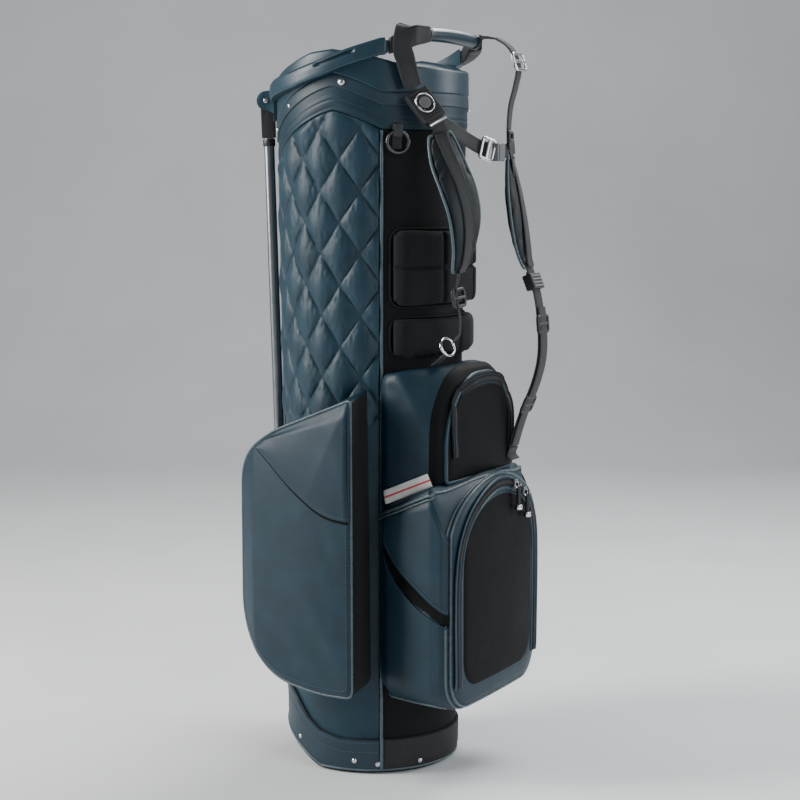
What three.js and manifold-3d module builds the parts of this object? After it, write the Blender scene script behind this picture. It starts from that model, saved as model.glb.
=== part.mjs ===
// Golf stand bag with folded legs, a twin shoulder strap and side pockets.
// Millimetres, +Z up. The origin is the middle of the flat underside.
// +X is the strap and ball pocket side, -X the leg side, -Y the near side.
import * as THREE from 'three';
import { mergeVertices } from 'three/addons/utils/BufferGeometryUtils.js';
import Module from 'manifold-3d';

// Body tube: it widens a little from the base to the top.
const BASE_RADIUS = 104;
const TOP_RADIUS = 116;
const TOP_RADIUS_Z = 820;
const GAP = 0.3;
const PANEL_THICKNESS = 3.6;
const LINER_THICKNESS = 3;
const LINER_TOP_Z = 780;
const PANEL_BOTTOM_Z = 10;
const PANEL_TOP_GAP = 1.4;

// Panel edges round the tube, in degrees from +X.
const FRONT_EDGE = 55;
const BACK_EDGE = 148;
const PIPING_RADIUS = 1.7;
const PIPING_HALF_ANGLE = 1.35;

// The quilted panel and the collar share one arched line on each side.
const ARCH_PEAK_ANGLE = 84;
const QUILT_PEAK_Z = 811;
const COLLAR_PEAK_Z = 855;
const ARCH_DROP = 20.5;
const ARCH_HALF_ANGLE = 27;
const ARCH_POWER = 1.3;

// Base boot
const BOOT_WALL = 3.2;
const BOOT_FLOOR = 8;
const BOOT_FRONT_Z = 44;
const ROCKER_START_X = -15;
const ROCKER_ANGLE = 27;

// Kick foot, hinged in the rocker face, and the rod that it lifts
const FOOT_PIVOT = [-25, 0, 10];
const FOOT_REST_ANGLE = 18;
const FOOT_LENGTH = 62;
const FOOT_WIDTH = 92;
const ROD_LOW = [-76, 0, 28.5];
const ROD_HIGH = [-93, 0, 766];
const ROD_RADIUS = 3;

// Legs
const LEG_PIVOT = [-126, -45, 829];
const LEG_FOOT = [-114, -29, 132];
const LEG_SPLAY = 22;
const LEG_RADIUS = 6.5;
const LEG_HEAD_WIDTH = 12;
const LEG_HEAD_DROP = 46;
const LEG_FOOT_LENGTH = 46;
const LEG_PIN_RADIUS = 3;
const LUG_RADIUS = 12;
const LUG_REACH = 13.6;

// Hip pads reach this far round from the middle of the strap side, in degrees.
const HIP_PAD_EDGE = 51;

// Handle
const GRIP_RADIUS = 8;
const GRIP_HALF_LENGTH = 66;
const GRIP_X = 109;
const GRIP_Z = 900;

const wasm = await Module();
wasm.setup();

const bag = new THREE.Group();

const material = (color, roughness, metalness = 0) =>
  new THREE.MeshStandardMaterial({ color, roughness, metalness });
const NAVY = material(0x1b3a4d, 0.5);
const BLACK_MESH = material(0x15181b, 0.9);
const BLACK_PLASTIC = material(0x101214, 0.45);
const WEBBING = material(0x1a1c20, 0.8);
const STEEL = material(0xb8bcc0, 0.3, 1);
const LEG_METAL = material(0x6c7278, 0.35, 0.9);
const RUBBER = material(0x0c0d0e, 0.9);
const LINING = material(0x22262b, 0.85);
const WHITE_TRIM = material(0xe8e8e4, 0.6);

// ---------- helpers ----------

const radiusAt = (z) => BASE_RADIUS + (TOP_RADIUS - BASE_RADIUS) * z / TOP_RADIUS_Z;

const rad = THREE.MathUtils.degToRad;

const vector = (point) => new THREE.Vector3(...point);

const polar = (radius, degrees, z) =>
  new THREE.Vector3(radius * Math.cos(rad(degrees)), radius * Math.sin(rad(degrees)), z);

const mirrored = ([x, y, z]) => [x, -y, z];

// Merge shared corners, drop collapsed triangles and turn the faces outward.
function closedGeometry(source) {
  const plain = source.clone();
  for (const name of Object.keys(plain.attributes)) {
    if (name !== 'position') plain.deleteAttribute(name);
  }
  const merged = mergeVertices(plain, 1e-4);
  const position = merged.getAttribute('position');
  const corner = (i) => new THREE.Vector3().fromBufferAttribute(position, i);
  const kept = [];
  let volume = 0;
  for (let i = 0; i < merged.index.count; i += 3) {
    const [a, b, c] = [0, 1, 2].map((k) => merged.index.getX(i + k));
    if (a === b || b === c || a === c) continue;
    kept.push(a, b, c);
    volume += corner(a).dot(corner(b).cross(corner(c)));
  }
  if (volume < 0) kept.reverse();
  merged.setIndex(kept);
  merged.computeVertexNormals();
  return merged;
}

// A skin over a row of sections, each a closed outline with the same number of corners.
function loft(sections, closed = false) {
  const size = sections[0].length;
  const positions = sections.flat().flatMap((p) => [p.x, p.y, p.z]);
  const index = [];
  const spans = closed ? sections.length : sections.length - 1;
  for (let s = 0; s < spans; s += 1) {
    const here = s * size;
    const next = ((s + 1) % sections.length) * size;
    for (let k = 0; k < size; k += 1) {
      const j = (k + 1) % size;
      index.push(here + k, here + j, next + j);
      index.push(here + k, next + j, next + k);
    }
  }
  if (!closed) {
    const last = (sections.length - 1) * size;
    for (let k = 1; k < size - 1; k += 1) {
      index.push(0, k + 1, k);
      index.push(last, last + k, last + k + 1);
    }
  }
  const geometry = new THREE.BufferGeometry();
  geometry.setAttribute('position', new THREE.Float32BufferAttribute(positions, 3));
  geometry.setIndex(index);
  return closedGeometry(geometry);
}

// A shape swept round the Z axis, whose [radius, z] outline may change with the angle.
function arcLoft(outlineAt, start, end, columns) {
  const closed = end - start === 360;
  const sections = [];
  for (let c = 0; c <= columns - (closed ? 1 : 0); c += 1) {
    const degrees = start + (end - start) * c / columns;
    sections.push(outlineAt(degrees).map(([r, z]) => polar(r, degrees, z)));
  }
  return loft(sections, closed);
}

// Flat webbing or padding along a smooth route. Its width lies along the given direction,
// which turns evenly from widthStart to widthEnd.
function strip(points, width, thickness, widthStart, widthEnd, steps) {
  const route = new THREE.CatmullRomCurve3(points.map(vector), false, 'centripetal');
  const sections = [];
  for (let s = 0; s <= steps; s += 1) {
    const t = s / steps;
    const centre = route.getPointAt(t);
    const along = route.getTangentAt(t);
    const across = vector(widthStart).lerp(vector(widthEnd), t);
    across.addScaledVector(along, -across.dot(along)).normalize();
    const out = new THREE.Vector3().crossVectors(along, across);
    const w = (typeof width === 'function' ? width(t) : width) / 2;
    const h = (typeof thickness === 'function' ? thickness(t) : thickness) / 2;
    sections.push([[-w, -h], [w, -h], [w, h], [-w, h]].map(
      ([a, b]) => centre.clone().addScaledVector(across, a).addScaledVector(out, b)));
  }
  return loft(sections);
}

function shapeOf(points) {
  return new THREE.Shape(points.map(([x, y]) => new THREE.Vector2(x, y)));
}

// An outline in the X-Y plane, raised along Z.
function prism(points, low, high) {
  const geometry = new THREE.ExtrudeGeometry(shapeOf(points), { depth: high - low, bevelEnabled: false });
  return closedGeometry(geometry.translate(0, 0, low));
}

// An outline in the X-Z plane, extended along Y.
function sidePrism(points, low, high) {
  const geometry = new THREE.ExtrudeGeometry(shapeOf(points), { depth: high - low, bevelEnabled: false });
  return closedGeometry(geometry.rotateX(Math.PI / 2).translate(0, high, 0));
}

// An outline in the Y-Z plane, extended along X.
function frontPrism(points, low, high) {
  const geometry = new THREE.ExtrudeGeometry(shapeOf(points), { depth: high - low, bevelEnabled: false });
  return closedGeometry(geometry.rotateX(Math.PI / 2).rotateZ(Math.PI / 2).translate(low, 0, 0));
}

// A round bar between two points.
function bar(from, to, radius, sides = 16) {
  const a = vector(from);
  const b = vector(to);
  const geometry = new THREE.CylinderGeometry(radius, radius, a.distanceTo(b), sides);
  const turn = new THREE.Quaternion().setFromUnitVectors(
    new THREE.Vector3(0, 1, 0), b.clone().sub(a).normalize());
  const middle = a.add(b).multiplyScalar(0.5);
  return closedGeometry(geometry.applyQuaternion(turn).translate(middle.x, middle.y, middle.z));
}

// A round cord or tube along a smooth route.
function cordAlong(points, radius, sides, steps) {
  const section = new THREE.Shape();
  section.absarc(0, 0, radius, 0, 2 * Math.PI);
  const route = new THREE.CatmullRomCurve3(points);
  return closedGeometry(new THREE.ExtrudeGeometry(
    section, { steps, curveSegments: sides / 2, extrudePath: route, bevelEnabled: false }));
}

const block = (x, y, z, centre) =>
  closedGeometry(new THREE.BoxGeometry(x, y, z).translate(...centre));

function toManifold(geometry) {
  const clean = closedGeometry(geometry);
  return new wasm.Manifold(new wasm.Mesh({
    numProp: 3,
    vertProperties: new Float32Array(clean.getAttribute('position').array),
    triVerts: new Uint32Array(clean.index.array),
  }));
}

function fromManifold(solid) {
  const mesh = solid.getMesh();
  const geometry = new THREE.BufferGeometry();
  geometry.setAttribute('position', new THREE.BufferAttribute(mesh.vertProperties, 3));
  geometry.setIndex(new THREE.BufferAttribute(mesh.triVerts, 1));
  return closedGeometry(geometry);
}

const join = (...pieces) => fromManifold(
  pieces.map(toManifold).reduce((whole, piece) => whole.add(piece)));

const cut = (body, ...tools) => fromManifold(
  tools.map(toManifold).reduce((whole, tool) => whole.subtract(tool), toManifold(body)));

const common = (...pieces) => fromManifold(
  pieces.map(toManifold).reduce((whole, piece) => whole.intersect(piece)));

function add(name, geometry, surface, parent = bag) {
  const mesh = new THREE.Mesh(geometry, surface.clone());
  mesh.name = name;
  parent.add(mesh);
  return mesh;
}

// Both sides of the bag: side is 'near' at -Y and 'far' at +Y.
function addPair(name, geometry, surface) {
  add(`${name}_near`, geometry, surface);
  add(`${name}_far`, closedGeometry(geometry.clone().scale(1, -1, 1)), surface);
}

// Straight-line reading between the listed [angle, value] pairs.
function readOff(pairs, angle) {
  const a = Math.abs(angle);
  const i = Math.max(1, pairs.findIndex(([end]) => end >= a));
  const [x0, y0] = pairs[i - 1];
  const [x1, y1] = pairs[i];
  return y0 + (y1 - y0) * (a - x0) / (x1 - x0);
}

const wrapped = (degrees) => Math.abs(((degrees + 180) % 360 + 360) % 360 - 180);

function archDrop(degrees) {
  const angle = Math.min(Math.max(wrapped(degrees), FRONT_EDGE), BACK_EDGE);
  const away = Math.abs(angle - ARCH_PEAK_ANGLE) / ARCH_HALF_ANGLE;
  return ARCH_DROP * away ** ARCH_POWER;
}

const quiltTop = (degrees) => QUILT_PEAK_Z - archDrop(degrees);

const collarLow = (degrees) => COLLAR_PEAK_Z - archDrop(degrees);

const COLLAR_TOPS = [[0, 862], [40, 866], [60, 876], [85, 884], [100, 881], [117, 870], [147, 852], [180, 844]];
const collarTop = (degrees) => readOff(COLLAR_TOPS, wrapped(degrees));

// Upper face of the boot's floor, which climbs towards the leg side.
function bootFloorTop(degrees, radius) {
  const run = Math.max(0, ROCKER_START_X - radius * Math.cos(rad(degrees)));
  return BOOT_FLOOR + 1.5 + run * Math.tan(rad(ROCKER_ANGLE));
}

// ---------- body: liner, panels and piping ----------

function makeBody() {
  const bottomAt = (degrees) => Math.max(PANEL_BOTTOM_Z, bootFloorTop(degrees, BASE_RADIUS + 2));
  const panel = (start, end, columns, top) => arcLoft((degrees) => {
    const low = bottomAt(degrees);
    const high = top(degrees);
    return [
      [radiusAt(low) - PANEL_THICKNESS, low],
      [radiusAt(low), low],
      [radiusAt(high), high],
      [radiusAt(high) - PANEL_THICKNESS, high],
    ];
  }, start, end, columns);

  const inset = PANEL_THICKNESS + GAP;
  add('body_tube', arcLoft((degrees) => {
    const low = bottomAt(degrees);
    return [
      [radiusAt(low) - inset, low],
      [radiusAt(LINER_TOP_Z) - inset, LINER_TOP_Z],
      [radiusAt(LINER_TOP_Z) - inset - LINER_THICKNESS, LINER_TOP_Z],
      [radiusAt(low) - inset - LINER_THICKNESS, low],
    ];
  }, 0, 360, 48), LINING);

  const edge = PIPING_HALF_ANGLE;
  const underBand = (degrees) => quiltTop(degrees) - PANEL_TOP_GAP;
  addPair('side_panel', panel(-BACK_EDGE + edge, -FRONT_EDGE - edge, 18, underBand), NAVY);
  add('front_panel', panel(-FRONT_EDGE + edge, FRONT_EDGE - edge, 14, underBand), BLACK_MESH);
  add('spine_panel', panel(BACK_EDGE + edge, 360 - BACK_EDGE - edge, 9, underBand), NAVY);

  const pipingLow = PANEL_BOTTOM_Z + 2;
  const pipingHigh = quiltTop(FRONT_EDGE) - PANEL_TOP_GAP;
  const out = 0.2 - PIPING_RADIUS;
  addPair('side_piping', bar(
    polar(radiusAt(pipingLow) + out, -FRONT_EDGE, pipingLow).toArray(),
    polar(radiusAt(pipingHigh) + out, -FRONT_EDGE, pipingHigh).toArray(), PIPING_RADIUS, 8), BLACK_PLASTIC);

  add('collar_band', arcLoft((degrees) => {
    const low = quiltTop(degrees);
    const high = collarLow(degrees) - 1;
    return [
      [radiusAt(low) - PANEL_THICKNESS, low],
      [radiusAt(low) + 0.8, low],
      [radiusAt(high) + 0.8, high],
      [radiusAt(high) - PANEL_THICKNESS, high],
    ];
  }, 0, 360, 56), NAVY);
}

// ---------- base boot, kick foot and push rod ----------

// The space under the rocker face, lifted by the given height.
function underRocker(lift) {
  const far = -140;
  const rise = (ROCKER_START_X - far) * Math.tan(rad(ROCKER_ANGLE));
  return sidePrism([
    [ROCKER_START_X, lift], [60, lift], [60, -40], [far, -40], [far, lift + rise],
  ], -130, 130);
}

function makeBase() {
  const innerAt = (z) => radiusAt(z) + GAP + 0.1;
  const outerAt = (z) => innerAt(z) + BOOT_WALL;
  const body = arcLoft(() => [
    [0, 0], [outerAt(0) - 6, 0], [outerAt(0) - 2, 3], [outerAt(0) - 0.5, 8], [outerAt(20), 20],
    [outerAt(120), 120], [0, 120],
  ], 0, 360, 48);
  const hollow = arcLoft(() => [
    [0, BOOT_FLOOR], [innerAt(BOOT_FLOOR), BOOT_FLOOR], [innerAt(130), 130], [0, 130],
  ], 0, 360, 48);
  const cavity = cut(hollow, underRocker(BOOT_FLOOR + 1));
  const aboveBoot = sidePrism([
    [130, BOOT_FRONT_Z], [14, BOOT_FRONT_Z], [-14, 50], [-34, 62], [-57, 84], [-84, 100], [-130, 106],
    [-130, 200], [130, 200],
  ], -130, 130);
  const footSlot = block(72, FOOT_WIDTH + 8, 120, [-54, 0, 30]);
  const [px, , pz] = FOOT_PIVOT;
  const pinHole = bar([px, -62, pz], [px, 62, pz], 2.4, 12);
  add('base_boot', cut(body, underRocker(0), cavity, aboveBoot, footSlot, pinHole), RUBBER);
  add('foot_pin', bar([px, -58, pz], [px, 58, pz], 2, 12), STEEL);

  // The kick foot hangs a little below the rocker face and folds up flush with it.
  const foot = new THREE.Group();
  foot.position.set(...FOOT_PIVOT);
  foot.rotation.y = rad(FOOT_REST_ANGLE);
  const barrel = bar([0, -FOOT_WIDTH / 2, 0], [0, FOOT_WIDTH / 2, 0], 4.6, 14);
  const plate = block(FOOT_LENGTH, FOOT_WIDTH, 5, [-FOOT_LENGTH / 2, 0, -2]);
  const bore = bar([0, -FOOT_WIDTH, 0], [0, FOOT_WIDTH, 0], 2.4, 12);
  add('kick_foot', cut(join(barrel, plate), bore), BLACK_PLASTIC, foot);
  bag.add(foot);

  const rod = bar(ROD_LOW, ROD_HIGH, ROD_RADIUS, 10);
  const yoke = block(8, 76, 8, [ROD_HIGH[0], 0, ROD_HIGH[2] + 2]);
  add('push_rod', join(rod, yoke), LEG_METAL);
}

// ---------- collar, dividers and arms ----------

const ARM_TOPS = [[50, 896], [56, 895], [74, 883], [88, 872], [108, 860], [140, 851], [150, 842]];

function makeTop() {
  const skirtLow = LINER_TOP_Z + 1;
  const rimRadius = radiusAt(850);
  add('collar', arcLoft((degrees) => {
    const low = collarLow(degrees);
    const top = collarTop(degrees);
    return [
      [rimRadius + 1.6, low],
      [rimRadius + 3, low + 8],
      [rimRadius + 3, top - 9],
      [rimRadius - 0.5, top - 1.5],
      [rimRadius - 6, top],
      [rimRadius - 11, top - 5],
      [rimRadius - 11, skirtLow],
      [rimRadius - 5.2, skirtLow],
      [rimRadius - 4.4, low],
    ];
  }, 0, 360, 56), NAVY);

  const dividerLow = 826;
  const dividerHigh = 850;
  const inner = rimRadius - 11 - GAP;
  const disc = arcLoft(() => [[0, dividerLow - 5], [inner, dividerLow - 5], [inner, dividerHigh + 5],
    [0, dividerHigh + 5]], 0, 360, 56);
  const middle = (dividerLow + dividerHigh) / 2;
  const rail = dividerHigh - dividerLow;
  const grid = join(
    block(260, 14, rail, [0, 0, middle]),
    block(14, 260, rail, [-36, 0, middle]),
    block(14, 260, rail, [36, 0, middle]),
  );
  add('top_divider', common(grid, disc), NAVY);

  // Full-length divider sheets, slotted into each other half way down.
  const sheetLow = 72;
  const sheetHigh = dividerLow - 1;
  const half = (sheetLow + sheetHigh) / 2;
  const slot = 3.2;
  const wide = 96;
  const slots = [-36, 36].map((x) => block(slot, 10, sheetHigh - half + 10, [x, 0, (sheetHigh + half) / 2 + 5]));
  const long = block(wide + 62, 2, sheetHigh - sheetLow, [(wide - 62) / 2, 0, (sheetHigh + sheetLow) / 2]);
  add('divider_sheet_long', cut(long, ...slots), LINING);
  for (const [name, x] of [['divider_sheet_back', -36], ['divider_sheet_front', 36]]) {
    const sheet = block(2, 2 * 84, sheetHigh - sheetLow, [x, 0, (sheetHigh + sheetLow) / 2]);
    const notch = block(10, slot, half - sheetLow + 10, [x, 0, (half + sheetLow) / 2 - 5]);
    add(name, cut(sheet, notch), LINING);
  }

  // Moulded arms climb round the collar from the leg bracket to the handle.
  const armInner = rimRadius + 3 + GAP;
  addPair('collar_arm', arcLoft((degrees) => {
    const top = readOff(ARM_TOPS, degrees);
    return [
      [armInner, top - 20],
      [armInner + 10, top - 20],
      [armInner + 11, top - 4],
      [armInner + 8, top],
      [armInner, top],
    ];
  }, -141, -52, 16), NAVY);
}

// ---------- legs ----------

function makeLegs() {
  const rimRadius = radiusAt(850);
  const plate = arcLoft(() => [
    [rimRadius + 3 + GAP, 803], [rimRadius + 7, 803], [rimRadius + 7, 845], [rimRadius + 3 + GAP, 845],
  ], 180 - 37, 180 + 37, 12);

  // Frames at the two pivots: X towards the bag, Y along the hinge, Z up.
  const pivotFrame = (side) => {
    const turn = new THREE.Matrix4().makeRotationZ(-side * rad(LEG_SPLAY));
    const [x, y, z] = LEG_PIVOT;
    return turn.setPosition(x, -side * y, z);
  };
  const cheek = (y) => {
    const outline = new THREE.Shape();
    outline.moveTo(LUG_REACH, -17);
    outline.lineTo(0, -LUG_RADIUS);
    outline.absarc(0, 0, LUG_RADIUS, -Math.PI / 2, Math.PI / 2, true);
    outline.lineTo(LUG_REACH, 14);
    const geometry = new THREE.ExtrudeGeometry(outline, { depth: 5, bevelEnabled: false, curveSegments: 6 });
    return closedGeometry(geometry.rotateX(Math.PI / 2).translate(0, y + 2.5, 0));
  };
  const cheekOffset = LEG_HEAD_WIDTH / 2 + 0.6 + 2.5;
  const lugs = [];
  const holes = [];
  for (const side of [-1, 1]) {
    const frame = pivotFrame(side);
    for (const y of [-cheekOffset, cheekOffset]) {
      lugs.push(closedGeometry(cheek(y).applyMatrix4(frame)));
    }
    holes.push(closedGeometry(bar([0, -20, 0], [0, 20, 0], LEG_PIN_RADIUS + 0.35, 14).applyMatrix4(frame)));
  }
  add('leg_bracket', cut(join(plate, ...lugs), ...holes), NAVY);

  for (const [name, side] of [['near', -1], ['far', 1]]) {
    const frame = pivotFrame(side);
    const pin = bar([0, -cheekOffset - 4, 0], [0, cheekOffset + 4, 0], LEG_PIN_RADIUS, 14);
    add(`leg_pin_${name}`, closedGeometry(pin.applyMatrix4(frame)), STEEL);

    // The leg hangs from the pivot along its own line, with Y still along the hinge.
    const leg = new THREE.Group();
    const pivot = vector(side < 0 ? LEG_PIVOT : mirrored(LEG_PIVOT));
    const end = vector(side < 0 ? LEG_FOOT : mirrored(LEG_FOOT));
    const up = pivot.clone().sub(end).normalize();
    const hinge = new THREE.Vector3(0, 1, 0).applyAxisAngle(new THREE.Vector3(0, 0, 1), -side * rad(LEG_SPLAY));
    const forward = new THREE.Vector3().crossVectors(hinge, up).normalize();
    const level = new THREE.Vector3().crossVectors(up, forward);
    leg.applyMatrix4(new THREE.Matrix4().makeBasis(forward, level, up).setPosition(pivot));
    const length = pivot.distanceTo(end);

    const outline = new THREE.Shape();
    outline.moveTo(-8, -LEG_HEAD_DROP);
    outline.lineTo(8, -LEG_HEAD_DROP);
    outline.lineTo(8.4, 0);
    outline.absarc(0, 0, 8.4, 0, Math.PI, false);
    const bore = new THREE.Path();
    bore.absarc(0, 0, LEG_PIN_RADIUS + 0.35, 0, 2 * Math.PI, true);
    outline.holes.push(bore);
    const head = new THREE.ExtrudeGeometry(
      outline, { depth: LEG_HEAD_WIDTH, bevelEnabled: false, curveSegments: 7 });
    add(`leg_head_${name}`, closedGeometry(head.rotateX(Math.PI / 2).translate(0, LEG_HEAD_WIDTH / 2, 0)),
      BLACK_PLASTIC, leg);

    const tubeTop = -LEG_HEAD_DROP - GAP;
    const tubeEnd = -length + LEG_FOOT_LENGTH;
    add(`leg_tube_${name}`, bar([0, 0, tubeTop], [0, 0, tubeEnd], LEG_RADIUS, 16), LEG_METAL, leg);
    const foot = new THREE.LatheGeometry([
      [0, -length], [5, -length], [7.6, -length + 3], [8.2, -length + 12], [7.4, tubeEnd - GAP], [0, tubeEnd - GAP],
    ].map(([r, h]) => new THREE.Vector2(r, h)), 16);
    add(`leg_foot_${name}`, closedGeometry(foot.rotateX(Math.PI / 2)), RUBBER, leg);
    bag.add(leg);
  }
}

// ---------- handle ----------

function makeHandle() {
  const rimRadius = radiusAt(850);
  const grip = [-1, -0.5, 0, 0.5, 1].map((t) =>
    new THREE.Vector3(GRIP_X, t * GRIP_HALF_LENGTH, GRIP_Z + 2.5 * (1 - t * t)));
  add('handle_grip', cordAlong(grip, GRIP_RADIUS, 14, 10), NAVY);

  // Each bracket bridges from the end of an arm to the end of the grip.
  const armEnd = polar(rimRadius + 8.8, -51.6, 885);
  const section = (x, y, z, angle, wide, tall) => {
    const across = polar(1, angle, 0);
    return [[-1, -1], [1, -1], [1, 1], [-1, 1]].map(([a, b]) =>
      new THREE.Vector3(x, y, z + b * tall / 2).addScaledVector(across, a * wide / 2));
  };
  addPair('handle_bracket', loft([
    section(armEnd.x, armEnd.y, armEnd.z, -51.6, 10, 18),
    section(90, -89, 892, -44, 13, 24),
    section(101, -79, 898, -28, 17, 24),
    section(GRIP_X, -GRIP_HALF_LENGTH - 0.8, GRIP_Z, 0, 19, 19),
  ]), BLACK_PLASTIC);
}

// ---------- pockets ----------

// A pocket is its plan outline and its side outline in common, cut back to the tube.
function pocketSolid(plan, side, frontOutline) {
  const tube = arcLoft(() => [
    [0, -10], [radiusAt(-10) + 0.5, -10], [radiusAt(900) + 0.5, 900], [0, 900],
  ], 0, 360, 64);
  const pieces = [prism(plan, 0, 700), sidePrism(side, -260, 260)];
  if (frontOutline) pieces.push(frontPrism(frontOutline, -260, 260));
  return cut(common(...pieces), tube);
}

// An outline whose corners are rounded, each as a few chords.
function rounded(points, radii, chords = 4) {
  const result = [];
  const count = points.length;
  points.forEach((point, i) => {
    const here = new THREE.Vector2(...point);
    const back = new THREE.Vector2(...points[(i + count - 1) % count]);
    const next = new THREE.Vector2(...points[(i + 1) % count]);
    const r = Math.min(radii[i], 0.49 * here.distanceTo(back), 0.49 * here.distanceTo(next));
    if (r === 0) {
      result.push(point);
      return;
    }
    const from = here.clone().add(back.sub(here).setLength(r));
    const to = here.clone().add(next.sub(here).setLength(r));
    const bend = new THREE.QuadraticBezierCurve(from, here, to);
    for (const p of bend.getPoints(chords)) result.push([p.x, p.y]);
  });
  return result;
}

const BALL_HALF_WIDTH = 122;
const BALL_FRONT_X = 176;
const BALL_LOW_Z = 96;
const VALUABLES_FRONT_X = 152;

// Slanted top of the ball pocket: height at distance x from the axis.
const ballTop = (x) => 338 + (x - 76) * 0.42;

function makePockets() {
  const sidePlan = rounded([
    [-58, -76], [-112, -134], [-88, -145], [60, -164], [70, -150], [48, -96], [20, -70],
  ], [0, 12, 13, 9, 7, 0, 0]);
  const sideOutline = rounded([
    [-116, 180], [-116, 398], [-70, 420], [74, 478], [74, 113], [10, 112], [-60, 122],
  ], [38, 28, 18, 0, 0, 20, 38]);
  addPair('side_pocket', pocketSolid(sidePlan, sideOutline), NAVY);

  const wide = BALL_HALF_WIDTH;
  const ballPlan = rounded([
    [58, -84], [80, -108], [150, -wide], [BALL_FRONT_X, -wide + 8], [BALL_FRONT_X + 4, 0],
    [BALL_FRONT_X, wide - 8], [150, wide], [80, 108], [58, 84],
  ], [0, 10, 12, 14, 60, 14, 12, 10, 0]);
  const ballSide = rounded([
    [40, BALL_LOW_Z + 6], [150, BALL_LOW_Z], [190, BALL_LOW_Z + 14], [190, ballTop(190)], [40, ballTop(40)],
  ], [0, 20, 12, 12, 0]);
  const ballFront = rounded([
    [-wide - 1, BALL_LOW_Z], [wide + 1, BALL_LOW_Z], [wide + 1, 318], [wide - 40, 382], [-wide + 40, 382],
    [-wide - 1, 318],
  ], [44, 44, 40, 36, 36, 40]);
  add('ball_pocket', pocketSolid(ballPlan, ballSide, ballFront), NAVY);

  const valuablesPlan = rounded([
    [56, -84], [76, -100], [138, -101], [VALUABLES_FRONT_X, -84], [VALUABLES_FRONT_X + 4, 0],
    [VALUABLES_FRONT_X, 84], [138, 101], [76, 100], [56, 84],
  ], [0, 10, 10, 11, 50, 11, 10, 10, 0]);
  const valuablesSide = rounded([
    [40, ballTop(40) + GAP + 0.3], [170, ballTop(170) + GAP + 0.3], [170, 500], [140, 508], [40, 498],
  ], [0, 0, 10, 20, 0]);
  const valuablesFront = rounded([
    [-110, 300], [110, 300], [108, 452], [62, 508], [-62, 508], [-108, 452],
  ], [0, 0, 40, 30, 30, 40]);
  add('valuables_pocket', pocketSolid(valuablesPlan, valuablesSide, valuablesFront), NAVY);

  // Light trim stripe on each flank of the upper pocket, just above the ball pocket.
  addPair('trim_stripe', strip(
    [[84, -102.6, ballTop(84) + 12], [106, -103, ballTop(106) + 12], [130, -103.2, ballTop(130) + 12]],
    16, 1.4, [0, 0, 1], [0, 0, 1], 4), WHITE_TRIM);
}

// Zip over the front of the ball pocket, its sliders and pulls.
function makeZips() {
  const zipX = BALL_FRONT_X + 5.6;
  const archPoints = [
    [-105, 128], [-106.5, 200], [-106, 262], [-99, 300], [-81, 328], [-56, 346], [-27, 358], [0, 362],
  ];
  const whole = [...archPoints, ...archPoints.slice(0, -1).reverse().map(([y, z]) => [-y, z])];
  const frontX = (y) => zipX - 4 * Math.abs(y) / 114;
  const route = new THREE.CatmullRomCurve3(whole.map(([y, z]) => new THREE.Vector3(frontX(y), y, z)));
  const sections = [];
  const steps = 40;
  for (let s = 0; s <= steps; s += 1) {
    const p = route.getPointAt(s / steps);
    const along = route.getTangentAt(s / steps);
    const out = new THREE.Vector3(1, 0, 0);
    const across = new THREE.Vector3().crossVectors(out, along).normalize();
    sections.push([[-7, -0.8], [7, -0.8], [7, 0.8], [-7, 0.8]].map(([a, b]) =>
      p.clone().addScaledVector(across, a).addScaledVector(out, b)));
  }
  add('ball_zip', loft(sections), BLACK_MESH);

  for (const [name, y, z] of [['inner', 34, 356], ['outer', 62, 342.5]]) {
    const x = frontX(y) + 1.2;
    const body = block(4, 9, 11, [x + 2, y, z]);
    const ears = [-3.2, 3.2].map((dy) => block(5, 1.6, 5, [x + 6, y + dy, z]));
    const hole = bar([x + 6.6, y - 5, z], [x + 6.6, y + 5, z], 1.2, 10);
    add(`zip_slider_${name}`, cut(join(body, ...ears), hole), STEEL);
    const axle = bar([x + 6.6, y - 4.6, z], [x + 6.6, y + 4.6, z], 0.9, 10);
    const neck = block(1.8, 4, 10, [x + 6.6, y, z - 5]);
    const tag = block(2.4, 8, 24, [x + 6.6, y, z - 19]);
    add(`zip_pull_${name}`, join(axle, neck, tag), BLACK_PLASTIC);
  }
}

// ---------- strap side: hip pads, towel ring ----------

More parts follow.
